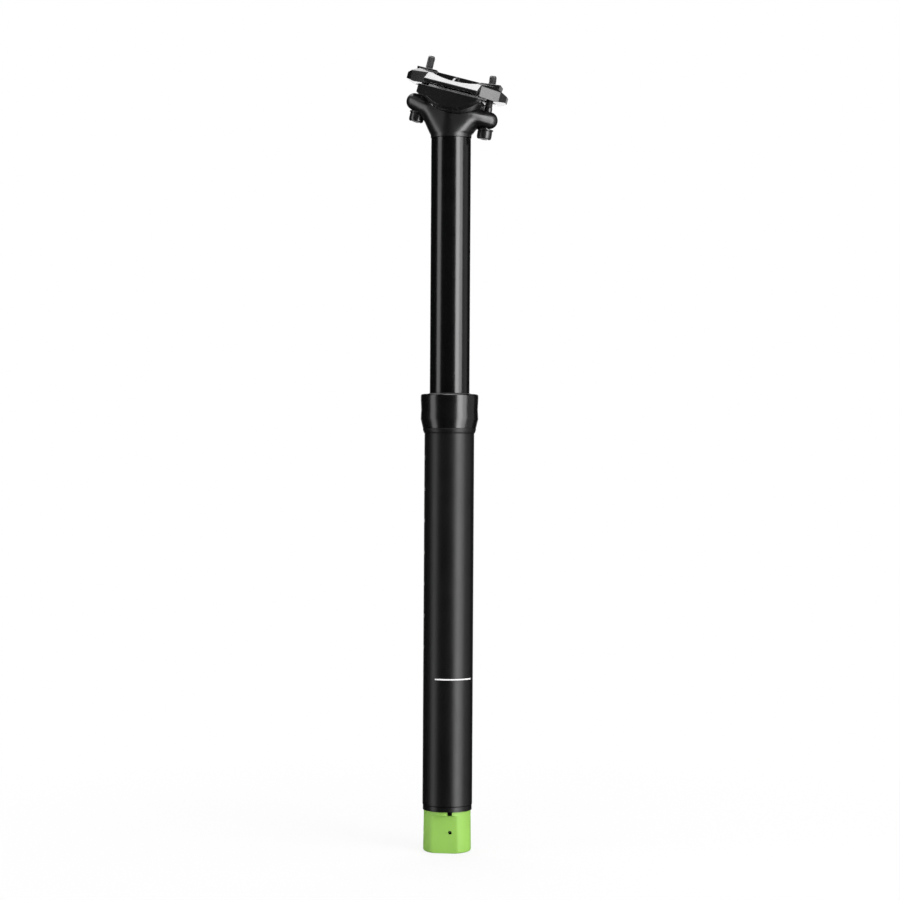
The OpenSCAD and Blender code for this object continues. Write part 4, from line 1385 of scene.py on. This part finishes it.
@dataclass
class Studio:
    """Floor, world, lamps and camera.

    Attributes:
        azimuth: Angle of the camera round the post from the side view, in degrees.
        distance: Distance of the camera from the post's axis, in metres.
        focal: Focal length, in pixels of the 900 pixel wide image.
        eye: Height of the camera, in metres.
        middle: Height on the post that lies in the image's middle, in metres.
        aim_side: Distance of the post's axis left of the image's middle, in metres.
        roll: Lean of the image, in degrees.
    """

    azimuth: float = 8.0
    distance: float = 1.46
    focal: float = 2297.0
    eye: float = -0.0105
    middle: float = -0.0105
    aim_side: float = 0.00045
    roll: float = 0.335

    def build(self) -> None:
        """Sets up the whole studio."""
        bpy.context.scene.view_settings.view_transform = "Standard"
        self._camera()
        self._world()
        self._floor()
        middle = Vector((0, 0, 0))
        self._lamp("right_panel", 43.0, 0.0, 1.2, (0.5, 2.2), 5.0, middle)
        self._lamp("right_wing", 64.5, 0.0, 1.2, (0.34, 2.2), 2.7, middle)
        self._lamp("right_far", 98.0, 0.0, 1.3, (0.8, 2.2), 0.28, middle)
        self._lamp("left_panel", -69.5, 0.0, 1.2, (0.5, 2.2), 1.6, middle)
        self._lamp("top_panel", 173.0, 61.0, 1.2, (0.6, 0.55), 5.6, Vector((0, 0, 0.2)))
        self._lamp("rear_top_panel", -143.0, 57.0, 1.2, (0.5, 0.5), 4.0, Vector((0, 0, 0.2)))
        self._lamp("front_top_panel", 0.0, 68.0, 1.2, (0.8, 1.2), 3.4, Vector((0, 0, 0.2)))
        self._lamp("back_panel", 180.0, 4.0, 1.8, (0.5, 1.4), 1.6, middle)

    def _direction(self, turn: float, rise: float) -> Vector:
        """Direction from the object, turned from the camera's side, in degrees."""
        angle = math.radians(self.azimuth + turn)
        lift = math.radians(rise)
        return Vector((math.sin(angle) * math.cos(lift), -math.cos(angle) * math.cos(lift), math.sin(lift)))

    def _camera(self) -> None:
        """Puts the camera at the photograph's viewing angle."""
        angle = math.radians(self.azimuth)
        right = Vector((math.cos(angle), math.sin(angle), 0))
        place = self._direction(0.0, 0.0) * self.distance + Vector((0, 0, self.eye))
        aim = right * self.aim_side + Vector((0, 0, self.middle))
        data = bpy.data.cameras.new("camera")
        data.sensor_fit = "HORIZONTAL"
        data.sensor_width = 36.0
        data.lens = self.focal / 900.0 * 36.0
        data.clip_start = 0.01
        data.clip_end = 20.0
        camera = bpy.data.objects.new("camera", data)
        bpy.context.scene.collection.objects.link(camera)
        look = (aim - place).to_track_quat("-Z", "Y").to_matrix().to_4x4()
        spin = Matrix.Rotation(math.radians(self.roll), 4, "Z")
        camera.matrix_world = Matrix.Translation(place) @ look @ spin
        bpy.context.scene.camera = camera

    def _world(self) -> None:
        """A white background for the camera, its backdrop in a dim room for gloss, and a soft fill."""
        world = bpy.data.worlds.new("studio")
        bpy.context.scene.world = world
        world.use_nodes = True
        tree = world.node_tree
        tree.nodes.clear()
        path = tree.nodes.new("ShaderNodeLightPath")
        shiny = tree.nodes.new("ShaderNodeMath")
        shiny.operation = "MAXIMUM"
        fill = tree.nodes.new("ShaderNodeBackground")
        fill.inputs["Color"].default_value = (0.25, 0.25, 0.255, 1.0)
        room = tree.nodes.new("ShaderNodeBackground")
        room.inputs["Color"].default_value = (0.012, 0.012, 0.013, 1.0)
        place = tree.nodes.new("ShaderNodeTexCoord")
        facing = tree.nodes.new("ShaderNodeVectorMath")
        facing.operation = "DOT_PRODUCT"
        facing.inputs[1].default_value = tuple(self._direction(180.0, 0.0))
        wide = tree.nodes.new("ShaderNodeMapRange")
        wide.interpolation_type = "SMOOTHSTEP"
        wide.inputs["From Min"].default_value = math.cos(math.radians(26.0))
        wide.inputs["From Max"].default_value = math.cos(math.radians(14.0))
        around = tree.nodes.new("ShaderNodeMixShader")
        sheet = tree.nodes.new("ShaderNodeBackground")
        sheet.inputs["Color"].default_value = (1.0, 1.0, 1.0, 1.0)
        lit = tree.nodes.new("ShaderNodeMixShader")
        seen = tree.nodes.new("ShaderNodeMixShader")
        sink = tree.nodes.new("ShaderNodeOutputWorld")
        links = tree.links
        links.new(path.outputs["Is Glossy Ray"], shiny.inputs[0])
        links.new(path.outputs["Is Transmission Ray"], shiny.inputs[1])
        links.new(shiny.outputs["Value"], lit.inputs["Fac"])
        links.new(place.outputs["Generated"], facing.inputs[0])
        links.new(facing.outputs["Value"], wide.inputs["Value"])
        links.new(wide.outputs["Result"], around.inputs["Fac"])
        links.new(room.outputs["Background"], around.inputs[1])
        links.new(sheet.outputs["Background"], around.inputs[2])
        links.new(fill.outputs["Background"], lit.inputs[1])
        links.new(around.outputs["Shader"], lit.inputs[2])
        links.new(path.outputs["Is Camera Ray"], seen.inputs["Fac"])
        links.new(lit.outputs["Shader"], seen.inputs[1])
        links.new(sheet.outputs["Background"], seen.inputs[2])
        links.new(seen.outputs["Shader"], sink.inputs["Surface"])

    def _floor(self) -> None:
        """A pale floor under the cap, which keeps a faint shadow and fades to white."""
        made = bmesh.new()
        bmesh.ops.create_circle(made, cap_ends=True, segments=96, radius=0.75)
        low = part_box("actuator_cap")[0].z
        bmesh.ops.translate(made, verts=made.verts, vec=Vector((0, 0, low - 0.0002)))
        floor = Shapes.keep("floor", made)
        paint = bpy.data.materials.new("pale_floor")
        paint.use_nodes = True
        tree = paint.node_tree
        tree.nodes.clear()
        path = tree.nodes.new("ShaderNodeLightPath")
        place = tree.nodes.new("ShaderNodeTexCoord")
        flat = tree.nodes.new("ShaderNodeVectorMath")
        flat.operation = "MULTIPLY"
        flat.inputs[1].default_value = (1.0, 1.0, 0.0)
        reach = tree.nodes.new("ShaderNodeVectorMath")
        reach.operation = "LENGTH"
        fade = tree.nodes.new("ShaderNodeMapRange")
        fade.interpolation_type = "SMOOTHSTEP"
        fade.inputs["From Min"].default_value = 0.05
        fade.inputs["From Max"].default_value = 0.5
        fade.inputs["To Min"].default_value = 0.82
        fade.inputs["To Max"].default_value = 1.0
        share = tree.nodes.new("ShaderNodeMath")
        share.operation = "MULTIPLY"
        dull = tree.nodes.new("ShaderNodeBsdfDiffuse")
        dull.inputs["Color"].default_value = (0.8, 0.8, 0.8, 1.0)
        glow = tree.nodes.new("ShaderNodeEmission")
        glow.inputs["Color"].default_value = (1.0, 1.0, 1.0, 1.0)
        blend = tree.nodes.new("ShaderNodeMixShader")
        sink = tree.nodes.new("ShaderNodeOutputMaterial")
        links = tree.links
        links.new(place.outputs["Object"], flat.inputs[0])
        links.new(flat.outputs["Vector"], reach.inputs[0])
        links.new(reach.outputs["Value"], fade.inputs["Value"])
        links.new(fade.outputs["Result"], share.inputs[0])
        links.new(path.outputs["Is Camera Ray"], share.inputs[1])
        links.new(share.outputs["Value"], blend.inputs["Fac"])
        links.new(dull.outputs["BSDF"], blend.inputs[1])
        links.new(glow.outputs["Emission"], blend.inputs[2])
        links.new(blend.outputs["Shader"], sink.inputs["Surface"])
        floor.data.materials.append(paint)
        floor.visible_glossy = False

    def _lamp(self, name: str, turn: float, rise: float, distance: float, size: tuple[float, float],
              radiance: float, aim: Vector) -> None:
        """Hangs a soft panel that faces the object.

        Args:
            name: Name of the lamp.
            turn: Angle from the camera's side, in degrees.
            rise: Angle above the level, in degrees.
            distance: Distance from the aim, in metres.
            size: Width and height of the panel, in metres.
            radiance: Brightness of the panel's face.
            aim: Point that the panel faces.
        """
        data = bpy.data.lights.new(name, "AREA")
        data.shape = "RECTANGLE"
        data.size = size[0]
        data.size_y = size[1]
        data.energy = radiance * math.pi * size[0] * size[1]
        lamp = bpy.data.objects.new(name, data)
        bpy.context.scene.collection.objects.link(lamp)
        away = self._direction(turn, rise)
        lamp.matrix_world = Matrix.Translation(aim + away * distance) @ (
            (-away).to_track_quat("-Z", "Y").to_matrix().to_4x4())
        lamp.visible_camera = False


def main() -> None:
    """Builds the seatpost piece by piece, then the studio."""
    place = HeadFrame()
    OuterTube().build()
    Collar().build()
    Stanchion().build()
    Head(place).build()
    SaddleClamp(HeadFrame()).build()
    ActuatorCap().build()
    ReturnSpring().build()
    Inside().dress()
    Studio().build()


if __name__ == "__main__":
    main()
